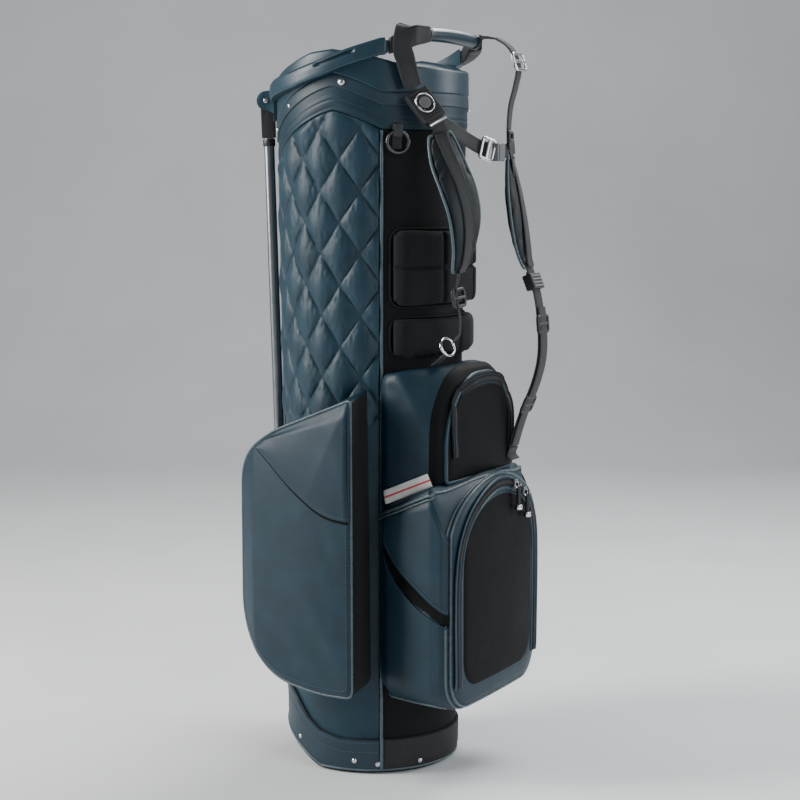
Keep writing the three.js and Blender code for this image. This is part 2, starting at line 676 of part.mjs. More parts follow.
function makeStrapSide() {
  const hipPad = (low, high) => arcLoft((degrees) => {
    const ease = Math.min(1, (HIP_PAD_EDGE - Math.abs(degrees)) / 8);
    const out = 5 + 9 * Math.sqrt(Math.max(ease, 0));
    const inner = radiusAt(high) + 0.5;
    return [
      [inner, low + 2], [inner + out - 4, low], [inner + out, low + 10],
      [inner + out, high - 10], [inner + out - 4, high], [inner, high - 2],
    ];
  }, -HIP_PAD_EDGE, HIP_PAD_EDGE, 14);
  add('hip_pad_upper', hipPad(576, 674), BLACK_MESH);
  add('hip_pad_lower', hipPad(516, 568), BLACK_MESH);

  // The towel ring hangs from a webbing loop.
  const angle = -46;
  const ringZ = 774.5;
  const ringRadius = 13;
  const out = radiusAt(ringZ) + 7;
  const ring = new THREE.TorusGeometry(ringRadius, 2, 8, 24);
  ring.rotateY(Math.PI / 2).translate(out, 0, ringZ).rotateZ(rad(angle));
  add('towel_ring', closedGeometry(ring), STEEL);
  const loopCentre = [out, ringZ + ringRadius];
  const loopSections = [];
  for (let s = 0; s < 16; s += 1) {
    const turn = s / 16 * 2 * Math.PI;
    const place = ([a, b]) => polar(1, angle, 0).multiplyScalar(loopCentre[0] + a * Math.cos(turn))
      .addScaledVector(polar(1, angle + 90, 0), b)
      .setZ(loopCentre[1] + (a + 3) * Math.sin(turn));
    loopSections.push([[3.4, -5], [5, -5], [5, 5], [3.4, 5]].map(place));
  }
  add('towel_loop', loft(loopSections, true), WEBBING);
}

// ---------- shoulder straps ----------

function makeStraps() {
  const Y = [0, 1, 0];
  const UP = [0, 0, 1];
  const slant = [0.7, 0.7, 0];
  const turned = [-0.3, 0.95, 0];
  const rolled = [0.47, 0.756, 0.457];
  const nearEdgeOn = [-0.45, 0.89, 0];
  const padWidth = (t) => 26 + 26 * Math.sin(Math.PI * t) ** 0.7;
  const padThickness = (t) => 8 + 5 * Math.sin(Math.PI * t);

  // Near strap, from the handle bracket down to the ring on the upper pocket.
  add('strap_web_top_near', strip(
    [[96, -92, 874], [99, -89.5, 859], [101.6, -86, 846], [103, -83, 837.5]], 24, 2.2, slant, rolled, 8), WEBBING);
  const buckle = new THREE.Group();
  buckle.position.set(116, -79, 816);
  buckle.rotation.set(rad(30), rad(-24), rad(-45), 'ZYX');
  const housing = join(block(9, 30, 40, [0, 0, 0]), block(6, 22, 8, [-1, 0, -24]));
  const recess = bar([1, 0, 2], [9, 0, 2], 7.9, 20);
  add('strap_buckle', cut(housing, recess), BLACK_PLASTIC, buckle);
  add('buckle_button', bar([2.8, 0, 2], [6.6, 0, 2], 7.3, 20), BLACK_PLASTIC, buckle);
  bag.add(buckle);
  add('shoulder_pad_near', strip(
    [[131, -70, 783], [142, -70, 750], [156, -70, 718], [164, -69, 686], [162, -67, 650], [153, -64, 622]],
    padWidth, padThickness, slant, Y, 14), NAVY);
  add('strap_web_low_near', strip(
    [[153, -63.5, 617], [150, -62, 596], [154, -60, 566], [153, -59, 548], [146, -58, 540]],
    22, 2.2, nearEdgeOn, nearEdgeOn, 10), WEBBING);

  // Far strap, bowed away from the bag.
  add('strap_web_top_far', strip(
    [[122, 71, 906], [136, 78, 903], [151, 83, 891], [160, 84, 868], [157, 83, 846], [151, 82, 822],
      [149, 81, 796], [149, 81, 770]],
    (t) => 18 + 6 * t, 2.2, [0, 1, 0.2], turned, 18), WEBBING);
  add('shoulder_pad_far', strip(
    [[150, 81, 760], [154, 81, 722], [161, 82, 682], [169, 82, 644], [176, 83, 622]],
    padWidth, padThickness, turned, Y, 14), NAVY);
  add('strap_web_low_far', strip(
    [[178, 83, 616], [188, 83, 592], [194, 83, 556], [195, 83, 514], [187, 82, 478], [172, 80, 440],
      [161, 78, 404], [157, 77, 383]], 22, 2.2, Y, Y, 22), WEBBING);
  const adjuster = new THREE.Group();
  adjuster.position.set(183.4, 83, 604);
  adjuster.rotation.y = rad(-22.6);
  add('far_adjuster', cut(block(12, 30, 20, [0, 0, 0]), block(5, 24, 40, [0, 0, 0])), BLACK_PLASTIC, adjuster);
  bag.add(adjuster);

  // Strap that joins the two pads across the back, with its clip.
  add('cross_strap', strip(
    [[128, -56, 796], [132, -36, 789], [135, -8, 779], [140, 14, 771], [147, 30, 766]],
    18, 2.2, UP, UP, 12), WEBBING);
  add('cross_clip', block(9, 20, 22, [153, 43.5, 764]), BLACK_PLASTIC);

  // Ring that holds the lower end of the near strap, and its tab on the pocket.
  const ring = new THREE.TorusGeometry(11, 1.8, 8, 24);
  ring.scale(1, 1.45, 1).rotateY(rad(70)).translate(136, -58, 531);
  add('d_ring_near', closedGeometry(ring), STEEL);
  add('d_ring_tab', strip(
    [[118, -58, 508.8], [122, -58, 511], [128, -58, 516], [132.5, -58, 521]], 16, 1.8, Y, Y, 6), WEBBING);
}

makeBody();
makeBase();
makeTop();
makeLegs();
makeHandle();
makePockets();
makeZips();
makeStrapSide();
makeStraps();

export default bag;
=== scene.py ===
"""Looks for the golf stand bag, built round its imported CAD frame. Metres, +Z up.

+X is the strap and ball pocket side, -X the leg side, -Y the side that faces the camera.
"""
import math

import bmesh
import bpy
import numpy as np
from mathutils import Matrix, Vector
from mathutils.bvhtree import BVHTree


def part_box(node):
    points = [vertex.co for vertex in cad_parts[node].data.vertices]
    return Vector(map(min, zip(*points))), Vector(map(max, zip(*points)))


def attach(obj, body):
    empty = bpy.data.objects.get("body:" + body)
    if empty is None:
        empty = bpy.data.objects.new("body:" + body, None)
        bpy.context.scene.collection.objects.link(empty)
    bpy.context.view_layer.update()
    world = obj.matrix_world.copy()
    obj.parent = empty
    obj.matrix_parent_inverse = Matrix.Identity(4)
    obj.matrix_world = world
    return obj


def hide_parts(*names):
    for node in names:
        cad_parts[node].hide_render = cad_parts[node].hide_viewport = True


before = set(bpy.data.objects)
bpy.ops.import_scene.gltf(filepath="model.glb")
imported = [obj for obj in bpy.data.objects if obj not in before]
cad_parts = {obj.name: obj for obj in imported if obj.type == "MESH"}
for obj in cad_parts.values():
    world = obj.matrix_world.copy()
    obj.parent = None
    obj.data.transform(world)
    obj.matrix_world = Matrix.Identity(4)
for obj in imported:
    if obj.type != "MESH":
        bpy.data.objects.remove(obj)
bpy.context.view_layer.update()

# ---------- driving dimensions, the same as the CAD's ----------

MM = 0.001
BASE_RADIUS = 104 * MM
TOP_RADIUS = 116 * MM
TOP_RADIUS_Z = 820 * MM
RIM_RADIUS = BASE_RADIUS + (TOP_RADIUS - BASE_RADIUS) * 0.850 / TOP_RADIUS_Z
MEAN_RADIUS = 110 * MM
PANEL = 3.6 * MM
FRONT_EDGE = 55.0
BACK_EDGE = 148.0
ROCKER_START = -15 * MM
ROCKER_SLOPE = math.tan(math.radians(27))

# Camera: distance, height and tilt that give the photographed view.
VIEW_AZIMUTH = math.radians(29)
VIEW_DISTANCE = 2.25
VIEW_HEIGHT = 0.714
VIEW_TILT = math.radians(6.6)
VIEW_SHIFT = 0.034
VIEW_LENS = 80.4


def radius_at(z):
    return BASE_RADIUS + (TOP_RADIUS - BASE_RADIUS) * z / TOP_RADIUS_Z


def wrapped(degrees):
    return np.abs((np.asarray(degrees, float) + 180) % 360 - 180)


def arch_drop(degrees):
    """How far the arched collar line lies under its peak at this angle round the tube."""
    angle = np.clip(wrapped(degrees), FRONT_EDGE, BACK_EDGE)
    return 20.5 * MM * (np.abs(angle - 84) / 27) ** 1.3


def quilt_top(degrees):
    return 0.811 - arch_drop(degrees)


def collar_low(degrees):
    return 0.855 - arch_drop(degrees)


COLLAR_TOPS = [[0, 40, 60, 85, 100, 117, 147, 180], [862, 866, 876, 884, 881, 870, 852, 844]]


def collar_top(degrees):
    return np.interp(wrapped(degrees), *COLLAR_TOPS) * MM


def polar(radius, degrees, z):
    a = np.radians(degrees)
    return np.stack(np.broadcast_arrays(radius * np.cos(a), radius * np.sin(a), z), -1)


def on_tube(degrees, z, height):
    """Points at a height off the tube's surface."""
    return polar(radius_at(z) + height, degrees, z)


def noise(points, scale, seed=0):
    """Smooth value noise from -1 to 1 at points given in metres; scale is bumps per metre."""
    p = np.asarray(points, float) * scale + seed * 17.31
    cell = np.floor(p).astype(np.int64)
    f = p - cell
    f = f * f * (3 - 2 * f)
    total = 0.0
    for corner in np.ndindex(*(2,) * p.shape[-1]):
        key = (cell + corner) @ np.array([374761393, 668265263, 2147483647])[: p.shape[-1]]
        key = (key ^ (key >> 13)) * 1274126177 & 0x7FFFFFFF
        weight = np.prod(np.where(corner, f, 1 - f), -1)
        total = total + weight * ((key % 10007) / 5003.0 - 1)
    return total


# ---------- mesh tools ----------

SIDES = ((1, "near"), (-1, "far"))
UP = np.array([0, 0, 1.0])


def mm(points):
    return np.asarray(points, float) * MM


def full_turn(count):
    return np.linspace(0, 2 * math.pi, count, endpoint=False)


def unit(v):
    return v / np.maximum(np.linalg.norm(v, axis=-1, keepdims=True), 1e-12)


def tangents(points):
    return unit(np.gradient(points, axis=0))


def reach_along(points):
    """How far along a line each of its points lies."""
    return np.concatenate([[0], np.cumsum(np.linalg.norm(np.diff(points, axis=0), axis=1))])


def at_reach(where, reach, values):
    """Values that are given along a line, at other distances along it."""
    return np.stack([np.interp(where, reach, column) for column in np.transpose(values)], -1)


def scene_piece(name, mesh, look, body, nodes):
    """Puts a mesh in the scene with its look, on its body, for the CAD nodes that it stands for."""
    mesh.materials.clear()
    mesh.materials.append(LOOK[look])
    piece = bpy.data.objects.new(name, mesh)
    bpy.context.scene.collection.objects.link(piece)
    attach(piece, body)
    if nodes:
        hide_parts(*nodes)


def add(name, part, look, body="bag", sharp=42, nodes=()):
    """Makes a piece from a part: vertices, faces and, for some looks, UVs in metres."""
    verts, faces, *uvs = part
    mesh = bpy.data.meshes.new(name)
    mesh.from_pydata([tuple(v) for v in np.asarray(verts, float)], [], faces)
    if uvs:
        layer = mesh.uv_layers.new(name="UVMap")
        corner = np.zeros(len(mesh.loops), np.int32)
        mesh.loops.foreach_get("vertex_index", corner)
        layer.data.foreach_set("uv", np.asarray(uvs[0], np.float32)[corner].ravel())
    mesh.validate()
    bm = bmesh.new()
    bm.from_mesh(mesh)
    bmesh.ops.recalc_face_normals(bm, faces=bm.faces)
    bm.to_mesh(mesh)
    bm.free()
    mesh.shade_smooth()
    mesh.set_sharp_from_angle(angle=math.radians(sharp))
    scene_piece(name, mesh, look, body, nodes)


def pair(name, part, look, body="bag", sharp=42, nodes=()):
    """A piece on the near side and its mirror image on the far side."""
    for side, label in SIDES:
        verts = np.asarray(part[0], float) * (1, side, 1)
        add(f"{name}_{label}", (verts, *part[1:]), look, body.format(label), sharp,
            [f"{node}_{label}" for node in nodes])


def softened(node, width, look, body="bag", segments=3, angle=30):
    """A copy of a hard CAD node with rounded edges, which stands for it."""
    bm = bmesh.new()
    bm.from_mesh(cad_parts[node].data)
    bmesh.ops.remove_doubles(bm, verts=bm.verts, dist=1e-6)
    bmesh.ops.dissolve_limit(bm, angle_limit=math.radians(2), verts=bm.verts, edges=bm.edges)
    sharp = [e for e in bm.edges if e.is_manifold and e.calc_face_angle(0) > math.radians(angle)]
    bmesh.ops.bevel(bm, geom=sharp, offset=width, segments=segments, profile=0.5, affect="EDGES",
                    clamp_overlap=True)
    mesh = bpy.data.meshes.new(node + "_soft")
    bm.to_mesh(mesh)
    bm.free()
    mesh.shade_smooth()
    mesh.set_sharp_from_angle(angle=math.radians(50))
    scene_piece(node + "_soft", mesh, look, body, [node])


def restyled(node, look):
    """A CAD node that shows as it is, in a look of its own."""
    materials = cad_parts[node].data.materials
    materials.clear()
    materials.append(LOOK[look])


def grid_faces(rows, columns, wrap_rows=False, wrap_columns=False, offset=0):
    faces = []
    for i in range(rows if wrap_rows else rows - 1):
        for j in range(columns if wrap_columns else columns - 1):
            a = i * columns + j
            b = i * columns + (j + 1) % columns
            c = (i + 1) % rows * columns + (j + 1) % columns
            d = (i + 1) % rows * columns + j
            faces.append((offset + a, offset + b, offset + c, offset + d))
    return faces


def lofted(sections, closed=False):
    """Vertices and faces of a skin over sections, an array of (sections, corners, 3)."""
    sections = np.asarray(sections, float)
    count, corners = sections.shape[:2]
    faces = grid_faces(count, corners, closed, True)
    if not closed:
        faces.append(tuple(range(corners)))
        faces.append(tuple((count - 1) * corners + k for k in reversed(range(corners))))
    return sections.reshape(-1, 3), faces


def slab(outer, inner):
    """A closed skin between two grids of the same shape, (rows, columns, 3) each."""
    rows, columns = outer.shape[:2]
    total = rows * columns
    faces = grid_faces(rows, columns)
    faces += [tuple(reversed(f)) for f in grid_faces(rows, columns, offset=total)]
    edge = [j for j in range(columns)]
    edge += [i * columns + columns - 1 for i in range(1, rows)]
    edge += [(rows - 1) * columns + j for j in range(columns - 2, -1, -1)]
    edge += [i * columns for i in range(rows - 2, 0, -1)]
    for a, b in zip(edge, edge[1:] + edge[:1]):
        faces.append((a, a + total, b + total, b))
    return np.concatenate([outer.reshape(-1, 3), inner.reshape(-1, 3)]), faces


def spline(points, count, closed=False):
    """Evenly spaced points on a smooth line through the given ones."""
    p = np.asarray(points, float)
    if closed:
        p = np.concatenate([p[-1:], p, p[:2]])
    else:
        p = np.concatenate([2 * p[:1] - p[1:2], p, 2 * p[-1:] - p[-2:-1]])
    t = np.linspace(0, 1, 24, endpoint=False)[:, None]
    dense = []
    for a, b, c, d in zip(p, p[1:], p[2:], p[3:]):
        dense.append(0.5 * (2 * b + (c - a) * t + (2 * a - 5 * b + 4 * c - d) * t**2
                            + (3 * b - a - 3 * c + d) * t**3))
    dense = np.concatenate(dense + [p[-2:-1]])
    reach = reach_along(dense)
    at = np.linspace(0, reach[-1], count + 1)[:-1] if closed else np.linspace(0, reach[-1], count)
    return at_reach(at, reach, dense)


def frames_along(points, across, closed=False):
    """Tangent, across and out directions at each point of a route."""
    if closed:
        along = unit(np.roll(points, -1, 0) - np.roll(points, 1, 0))
    else:
        along = tangents(points)
    across = np.broadcast_to(np.asarray(across, float), points.shape).copy()
    across -= along * np.sum(across * along, -1, keepdims=True)
    across = unit(across)
    return along, across, np.cross(along, across)


def rope(points, radius, sides=10, closed=False):
    """A round tube along a route."""
    points = np.asarray(points, float)
    spread = np.ptp(points, axis=0)
    reference = np.eye(3)[int(np.argmin(spread))] + 0.01
    _, across, out = frames_along(points, reference, closed)
    turn = full_turn(sides)[None, :, None]
    sections = points[:, None] + radius * (np.cos(turn) * across[:, None] + np.sin(turn) * out[:, None])
    return lofted(sections, closed)


def band(points, width, thickness, across):
    """A flat strap along a route, with soft edges and UVs in metres along and across it."""
    points = np.asarray(points, float)
    _, side, out = frames_along(points, across)
    n = len(points)
    half = np.broadcast_to(np.asarray(width, float), n)[:, None, None] / 2
    deep = np.broadcast_to(np.asarray(thickness, float), n)[:, None, None] / 2
    steps = np.array([-1, -0.96, -0.8, -0.45, 0, 0.45, 0.8, 0.96, 1])
    lift = (1 - np.abs(steps) ** 6) ** 0.5
    u = np.concatenate([steps, steps[::-1][1:-1]])
    v = np.concatenate([lift, -lift[::-1][1:-1]])
    sections = points[:, None] + half * u[None, :, None] * side[:, None]
    sections = sections + deep * v[None, :, None] * out[:, None]
    verts, faces = lofted(sections)
    reach = reach_along(points)
    uvs = np.stack([np.repeat(reach, len(u)), (half[:, 0] * u[None]).ravel()], -1)
    return verts, faces, uvs


def merged(parts):
    """Several (verts, faces) joined into one list."""
    verts, faces, base = [], [], 0
    for part in parts:
        verts.append(np.asarray(part[0], float))
        faces += [tuple(base + i for i in f) for f in part[1]]
        base += len(part[0])
    return np.concatenate(verts), faces


def stitch_row(points, out, pitch=4.2 * MM, length=3.0 * MM, radius=0.42 * MM):
    """A row of thread stitches that lie on a surface along a line, each a small spindle."""
    points = np.asarray(points, float)
    out = np.broadcast_to(np.asarray(out, float), points.shape)
    reach = reach_along(points)
    parts = []
    shape = [(-0.5, 0.25, -0.6), (-0.34, 0.9, 0.2), (0, 1.0, 0.45), (0.34, 0.9, 0.2), (0.5, 0.25, -0.6)]
    turn = full_turn(6)
    for s in np.arange(pitch * 0.6, reach[-1] - pitch * 0.4, pitch):
        at = at_reach(s, reach, points)
        ahead = at_reach(s + length / 2, reach, points)
        normal = unit(at_reach(s, reach, out))
        along = unit(ahead - at)
        side = np.cross(along, normal)
        rings = [at + along * a * length + normal * radius * c
                 + radius * r * (np.cos(turn)[:, None] * side + np.sin(turn)[:, None] * normal)
                 for a, r, c in shape]
        parts.append(lofted(np.array(rings)))
    return merged(parts)


def dome(centre, out, radius, height, sides=20):
    """A rivet head: a low dome with a flat rim, on a surface that faces out."""
    out = unit(np.asarray(out, float))
    side = unit(np.cross(out, [0.31, 0.2, 0.93]))
    up = np.cross(out, side)
    turn = full_turn(sides)[:, None]
    circle = np.cos(turn) * side + np.sin(turn) * up
    profile = [(0.96, -0.6), (1.0, 0.05), (0.96, 0.28), (0.86, 0.3), (0.8, 0.42), (0.6, 0.75), (0.3, 0.95),
               (0.05, 1)]
    centre = np.asarray(centre)
    return lofted(np.array([centre + circle * radius * r + out * height * h for r, h in profile]))


# ---------- camera, lights, floor ----------


def aim(thing, at, target):
    thing.location = at
    thing.rotation_euler = (Vector(target) - Vector(at)).to_track_quat("-Z", "Y").to_euler()
    bpy.context.scene.collection.objects.link(thing)


def make_camera():
    right = Vector((math.cos(VIEW_AZIMUTH), math.sin(VIEW_AZIMUTH), 0))
    ahead = Vector((-math.sin(VIEW_AZIMUTH), math.cos(VIEW_AZIMUTH), 0))
    data = bpy.data.cameras.new("photo_view")
    data.sensor_width = 36
    data.lens = VIEW_LENS
    camera = bpy.data.objects.new("photo_view", data)
    place = right * VIEW_SHIFT - ahead * VIEW_DISTANCE + Vector((0, 0, VIEW_HEIGHT))
    aim(camera, place, place + ahead - Vector((0, 0, math.tan(VIEW_TILT))))
    bpy.context.scene.camera = camera


def soft_light(name, at, size, power, colour, target=(0, 0, 0.5)):
    data = bpy.data.lights.new(name, "AREA")
    data.shape = "RECTANGLE"
    data.size, data.size_y = size
    data.energy = power
    data.color = colour
    aim(bpy.data.objects.new(name, data), at, target)


def make_studio():
    soft_light("key_left", (-1.5, -1.25, 1.35), (0.7, 1.5), 70, (1.0, 0.985, 0.96))
    soft_light("fill_right", (2.2, -0.7, 1.1), (1.2, 1.6), 20, (0.93, 0.97, 1.0))
    soft_light("top_back", (0.3, 1.3, 2.1), (1.4, 0.9), 42, (1.0, 1.0, 1.0), (0, 0, 0.6))
    soft_light("rim_right", (1.5, 1.2, 1.2), (0.4, 1.4), 18, (0.95, 0.98, 1.0))
    world = bpy.data.worlds.new("studio")
    world.use_nodes = True
    world.node_tree.nodes["Background"].inputs["Color"].default_value = (0.80, 0.84, 0.88, 1)
    world.node_tree.nodes["Background"].inputs["Strength"].default_value = 0.26
    bpy.context.scene.world = world

    mesh = bpy.data.meshes.new("floor")
    # The floor runs back and turns up into a plain backdrop.
    profile = [(-4.0, 0.0), (2.4, 0.0)]
    profile += [(2.4 + 1.2 * math.sin(a), 1.2 - 1.2 * math.cos(a)) for a in np.linspace(0.1, 1.5, 12)]
    profile.append((3.6, 4.0))
    turn = Matrix.Rotation(VIEW_AZIMUTH, 3, "Z")
    verts = [turn @ Vector((side, d, z)) for d, z in profile for side in (-5, 5)]
    faces = [(2 * i, 2 * i + 1, 2 * i + 3, 2 * i + 2) for i in range(len(profile) - 1)]
    mesh.from_pydata(verts, [], faces)
    mesh.shade_smooth()
    ground = Surface("studio_floor", (0.77, 0.78, 0.79), 0.75)
    mottle = ground.noise(ground.place(), 3, 4)
    ground.colour(ground.ramp(mottle, [(0.3, (0.75, 0.76, 0.77)), (0.7, (0.80, 0.81, 0.82))]))
    mesh.materials.append(ground.material)
    floor = bpy.data.objects.new("floor", mesh)
    bpy.context.scene.collection.objects.link(floor)


# ---------- materials ----------


class Surface:
    """A principled material that is built up from plain calls."""

    def __init__(self, name, colour, roughness, metallic=0.0, **sockets):
        self.material = bpy.data.materials.new(name)
        self.material.use_nodes = True
        self.nodes = self.material.node_tree.nodes
        self.links = self.material.node_tree.links
        self.shader = self.nodes["Principled BSDF"]
        self.shader.inputs["Base Color"].default_value = (*colour, 1)
        self.shader.inputs["Roughness"].default_value = roughness
        self.shader.inputs["Metallic"].default_value = metallic
        for socket, value in sockets.items():
            self.shader.inputs[socket.replace("_", " ")].default_value = value
        self.bumps = None

    def put(self, kind, **settings):
        node = self.nodes.new(kind)
        for key, value in settings.items():
            setattr(node, key, value)
        return node

    def feed(self, socket, value):
        if isinstance(value, bpy.types.NodeSocket):
            self.links.new(value, socket)
        else:
            socket.default_value = value

    def math(self, operation, *values):
        node = self.put("ShaderNodeMath", operation=operation)
        for socket, value in zip(node.inputs, values):
            self.feed(socket, value)
        return node.outputs[0]

    def place(self):
        return self.put("ShaderNodeTexCoord").outputs["Object"]

    def times(self, a, b):
        return self.math("MULTIPLY", a, b)

    def plus(self, a, b):
        return self.math("ADD", a, b)

    def parts(self, vector):
        node = self.put("ShaderNodeSeparateXYZ")
        self.feed(node.inputs[0], vector)
        return node.outputs

    def join(self, x, y, z=0.0):
        node = self.put("ShaderNodeCombineXYZ")
        for socket, value in zip(node.inputs, (x, y, z)):
            self.feed(socket, value)
        return node.outputs[0]

    def round_tube(self):
        """Distance round the tube and height, in metres, at each point."""
        x, y, z = self.parts(self.place())
        turn = self.math("ARCTAN2", y, x)
        return self.join(self.times(turn, MEAN_RADIUS), z)

    def strap(self):
        """Distance along and across a strap, in metres."""
        return self.put("ShaderNodeUVMap", uv_map="UVMap").outputs[0]

    def noise(self, at, scale, detail=3.0, roughness=0.5):
        node = self.put("ShaderNodeTexNoise")
        self.feed(node.inputs["Vector"], at)
        node.inputs["Scale"].default_value = scale
        node.inputs["Detail"].default_value = detail
        node.inputs["Roughness"].default_value = roughness
        return node.outputs["Fac"]

    def cells(self, at, scale, feature="F1"):
        node = self.put("ShaderNodeTexVoronoi", feature=feature)
        self.feed(node.inputs["Vector"], at)
        node.inputs["Scale"].default_value = scale
        return node.outputs["Distance"]

    def stretch(self, at, scale):
        node = self.put("ShaderNodeVectorMath", operation="MULTIPLY")
        self.feed(node.inputs[0], at)
        node.inputs[1].default_value = scale
        return node.outputs[0]

    def ramp(self, value, stops):
        node = self.put("ShaderNodeValToRGB")
        ramp = node.color_ramp
        while len(ramp.elements) < len(stops):
            ramp.elements.new(0.5)
        for element, (at, colour) in zip(ramp.elements, stops):
            element.position = at
            element.color = (*colour, 1) if hasattr(colour, "__len__") else (colour, colour, colour, 1)
        self.feed(node.inputs[0], value)
        return node.outputs[0]

    def mix(self, amount, a, b):
        node = self.put("ShaderNodeMix", data_type="RGBA")
        self.feed(node.inputs["Factor"], amount)
        for socket, value in ((node.inputs[6], a), (node.inputs[7], b)):
            self.feed(socket, value if isinstance(value, bpy.types.NodeSocket) else (*value, 1))
        return node.outputs[2]

    def blend(self, value, start, end, a, b):
        """From a, where the value is at start or under, to b, where it is at end or over."""
        return self.mix(self.ramp(value, [(start, 0.0), (end, 1.0)]), a, b)

    def worn(self):
        """0 on flat ground, up to 1 on sharp raised edges."""
        point = self.put("ShaderNodeNewGeometry").outputs["Pointiness"]
        return self.ramp(point, [(0.52, 0.0), (0.62, 1.0)])

    def colour(self, value):
        self.links.new(value, self.shader.inputs["Base Color"])

    def rough(self, value, low, high):
        spread = self.put("ShaderNodeMapRange")
        self.feed(spread.inputs["Value"], value)
        spread.inputs["To Min"].default_value = low
        spread.inputs["To Max"].default_value = high
        self.links.new(spread.outputs[0], self.shader.inputs["Roughness"])

    def bump(self, height, depth, strength=1.0):
        node = self.put("ShaderNodeBump")
        node.inputs["Strength"].default_value = strength
        node.inputs["Distance"].default_value = depth
        self.feed(node.inputs["Height"], height)
        if self.bumps is not None:
            self.links.new(self.bumps, node.inputs["Normal"])
        self.bumps = node.outputs[0]
        self.links.new(self.bumps, self.shader.inputs["Normal"])


def toned(colour, factor, lift=0.0):
    return tuple(min(1, factor * c + lift) for c in colour)


def leather(name, deep, light, grain=1150, rough=(0.40, 0.56), shine=0.34):
    """Grained synthetic leather with soft mottling and paler worn ridges."""
    s = Surface(name, deep, 0.5, Coat_Weight=0.03, Coat_Roughness=0.35, Specular_IOR_Level=shine)
    at = s.place()
    mottle = s.noise(at, 26, 5, 0.6)
    base = s.blend(mottle, 0.32, 0.70, deep, light)
    pores = s.ramp(s.cells(at, grain), [(0.05, 0.55), (0.42, 1.0)])
    base = s.mix(s.times(s.math("SUBTRACT", 1.0, pores), 0.8), base, toned(deep, 0.45))
    scuff = s.ramp(s.noise(at, 170, 6, 0.7), [(0.55, 0.0), (0.78, 1.0)])
    wear = s.times(s.worn(), s.plus(0.25, scuff))
    s.colour(s.mix(s.times(wear, 0.45), base, toned(light, 2.4, 0.03)))
    s.rough(s.noise(at, 85, 5, 0.65), *rough)
    s.bump(s.noise(at, 300, 4, 0.6), 0.00022, 0.35)
    s.bump(s.cells(at, grain), 0.00016, 0.5)
    return s.material


def spacer_mesh(name, thread, hole_shade, flat=None):
    """Knitted spacer mesh: rows of small round holes in a soft dark face. The holes are coloured darker:
    painted shade in their depth.
    """
    s = Surface(name, thread, 0.85, Sheen_Weight=0.03, Specular_IOR_Level=0.22)
    at = s.round_tube() if flat is None else flat(s)
    u, v, _ = s.parts(at)
    pitch = 2 * math.pi / 0.0032
    dots = s.times(s.math("COSINE", s.times(u, pitch)), s.math("COSINE", s.times(v, pitch * 0.8)))
    holes = s.ramp(dots, [(0.28, 0.0), (0.62, 1.0)])
    fibre = s.noise(s.place(), 900, 3, 0.7)
    tone = s.blend(fibre, 0.3, 0.75, toned(thread, 0.7), toned(thread, 1.5))
    # The holes take the darker colour: painted shade at the bottom of each hole.
    s.colour(s.mix(holes, tone, hole_shade))
    s.rough(fibre, 0.72, 0.95)
    s.bump(s.math("SUBTRACT", 1.0, holes), 0.0007, 0.8)
    s.bump(fibre, 0.0002, 0.5)
    return s.material


def webbing(name, dark, light):
    """Woven webbing: a herringbone of ribs with tighter selvedges."""
    s = Surface(name, dark, 0.6, Sheen_Weight=0.12, Specular_IOR_Level=0.35)
    along, across, _ = s.parts(s.strap())
    fold = s.math("PINGPONG", s.plus(across, 1.0), 0.0035)
    rib = s.math("SINE", s.times(s.plus(along, s.times(fold, 1.2)), 2 * math.pi / 0.0019))
    weft = s.math("SINE", s.times(across, 2 * math.pi / 0.0012))
    weave = s.plus(s.times(rib, 0.6), s.times(weft, 0.4))
    fuzz = s.noise(s.place(), 700, 4, 0.7)
    shade = s.plus(s.times(weave, 0.35), fuzz)
    s.colour(s.blend(shade, 0.25, 0.85, dark, light))
    s.rough(fuzz, 0.5, 0.8)
    s.bump(weave, 0.00028, 0.7)
    s.bump(fuzz, 0.00012, 0.4)
    return s.material


def woven(name, dark, light, thread=0.0016):
    """Plain woven lining or tape."""
    s = Surface(name, dark, 0.8, Specular_IOR_Level=0.2)
    u, v, _ = s.parts(s.round_tube())
    pitch = 2 * math.pi / thread
    weave = s.times(s.math("SINE", s.times(u, pitch)), s.math("SINE", s.times(v, pitch)))
    tone = s.noise(s.place(), 60, 5, 0.6)
    s.colour(s.blend(s.plus(tone, s.times(weave, 0.15)), 0.3, 0.7, dark, light))
    s.rough(tone, 0.7, 0.92)
    s.bump(weave, 0.00025, 0.6)
    return s.material


def moulded(name, dark, light, rough=(0.38, 0.52), spark=1500):
    """Moulded plastic or rubber with a fine texture and rubbed edges."""
    s = Surface(name, dark, 0.45)
    at = s.place()
    tone = s.noise(at, 40, 4, 0.6)
    base = s.blend(tone, 0.35, 0.7, dark, light)
    s.colour(s.mix(s.times(s.worn(), 0.35), base, toned(light, 2.0, 0.025)))
    s.rough(s.noise(at, 120, 5, 0.7), *rough)
    s.bump(s.noise(at, spark, 2, 0.6), 0.00008, 0.5)
    s.bump(s.noise(at, 35, 3, 0.5), 0.0004, 0.25)
    return s.material


def metal(name, colour, rough, streak=(1, 1, 1), grain=400, edge=0.35):
    """Metal with fine streaks, handling marks and slightly brighter edges."""
    s = Surface(name, colour, 0.3, 1.0)
    at = s.place()
    lines = s.noise(s.stretch(at, streak), grain, 4, 0.6)
    marks = s.noise(at, 55, 5, 0.7)
    tone = s.blend(marks, 0.35, 0.75, toned(colour, 0.82), colour)
    s.colour(s.mix(s.times(s.worn(), edge), tone, toned(colour, 1.35)))
    s.rough(s.plus(s.times(lines, 0.6), s.times(marks, 0.4)), *rough)
    s.bump(lines, 0.00006, 0.35)
    return s.material


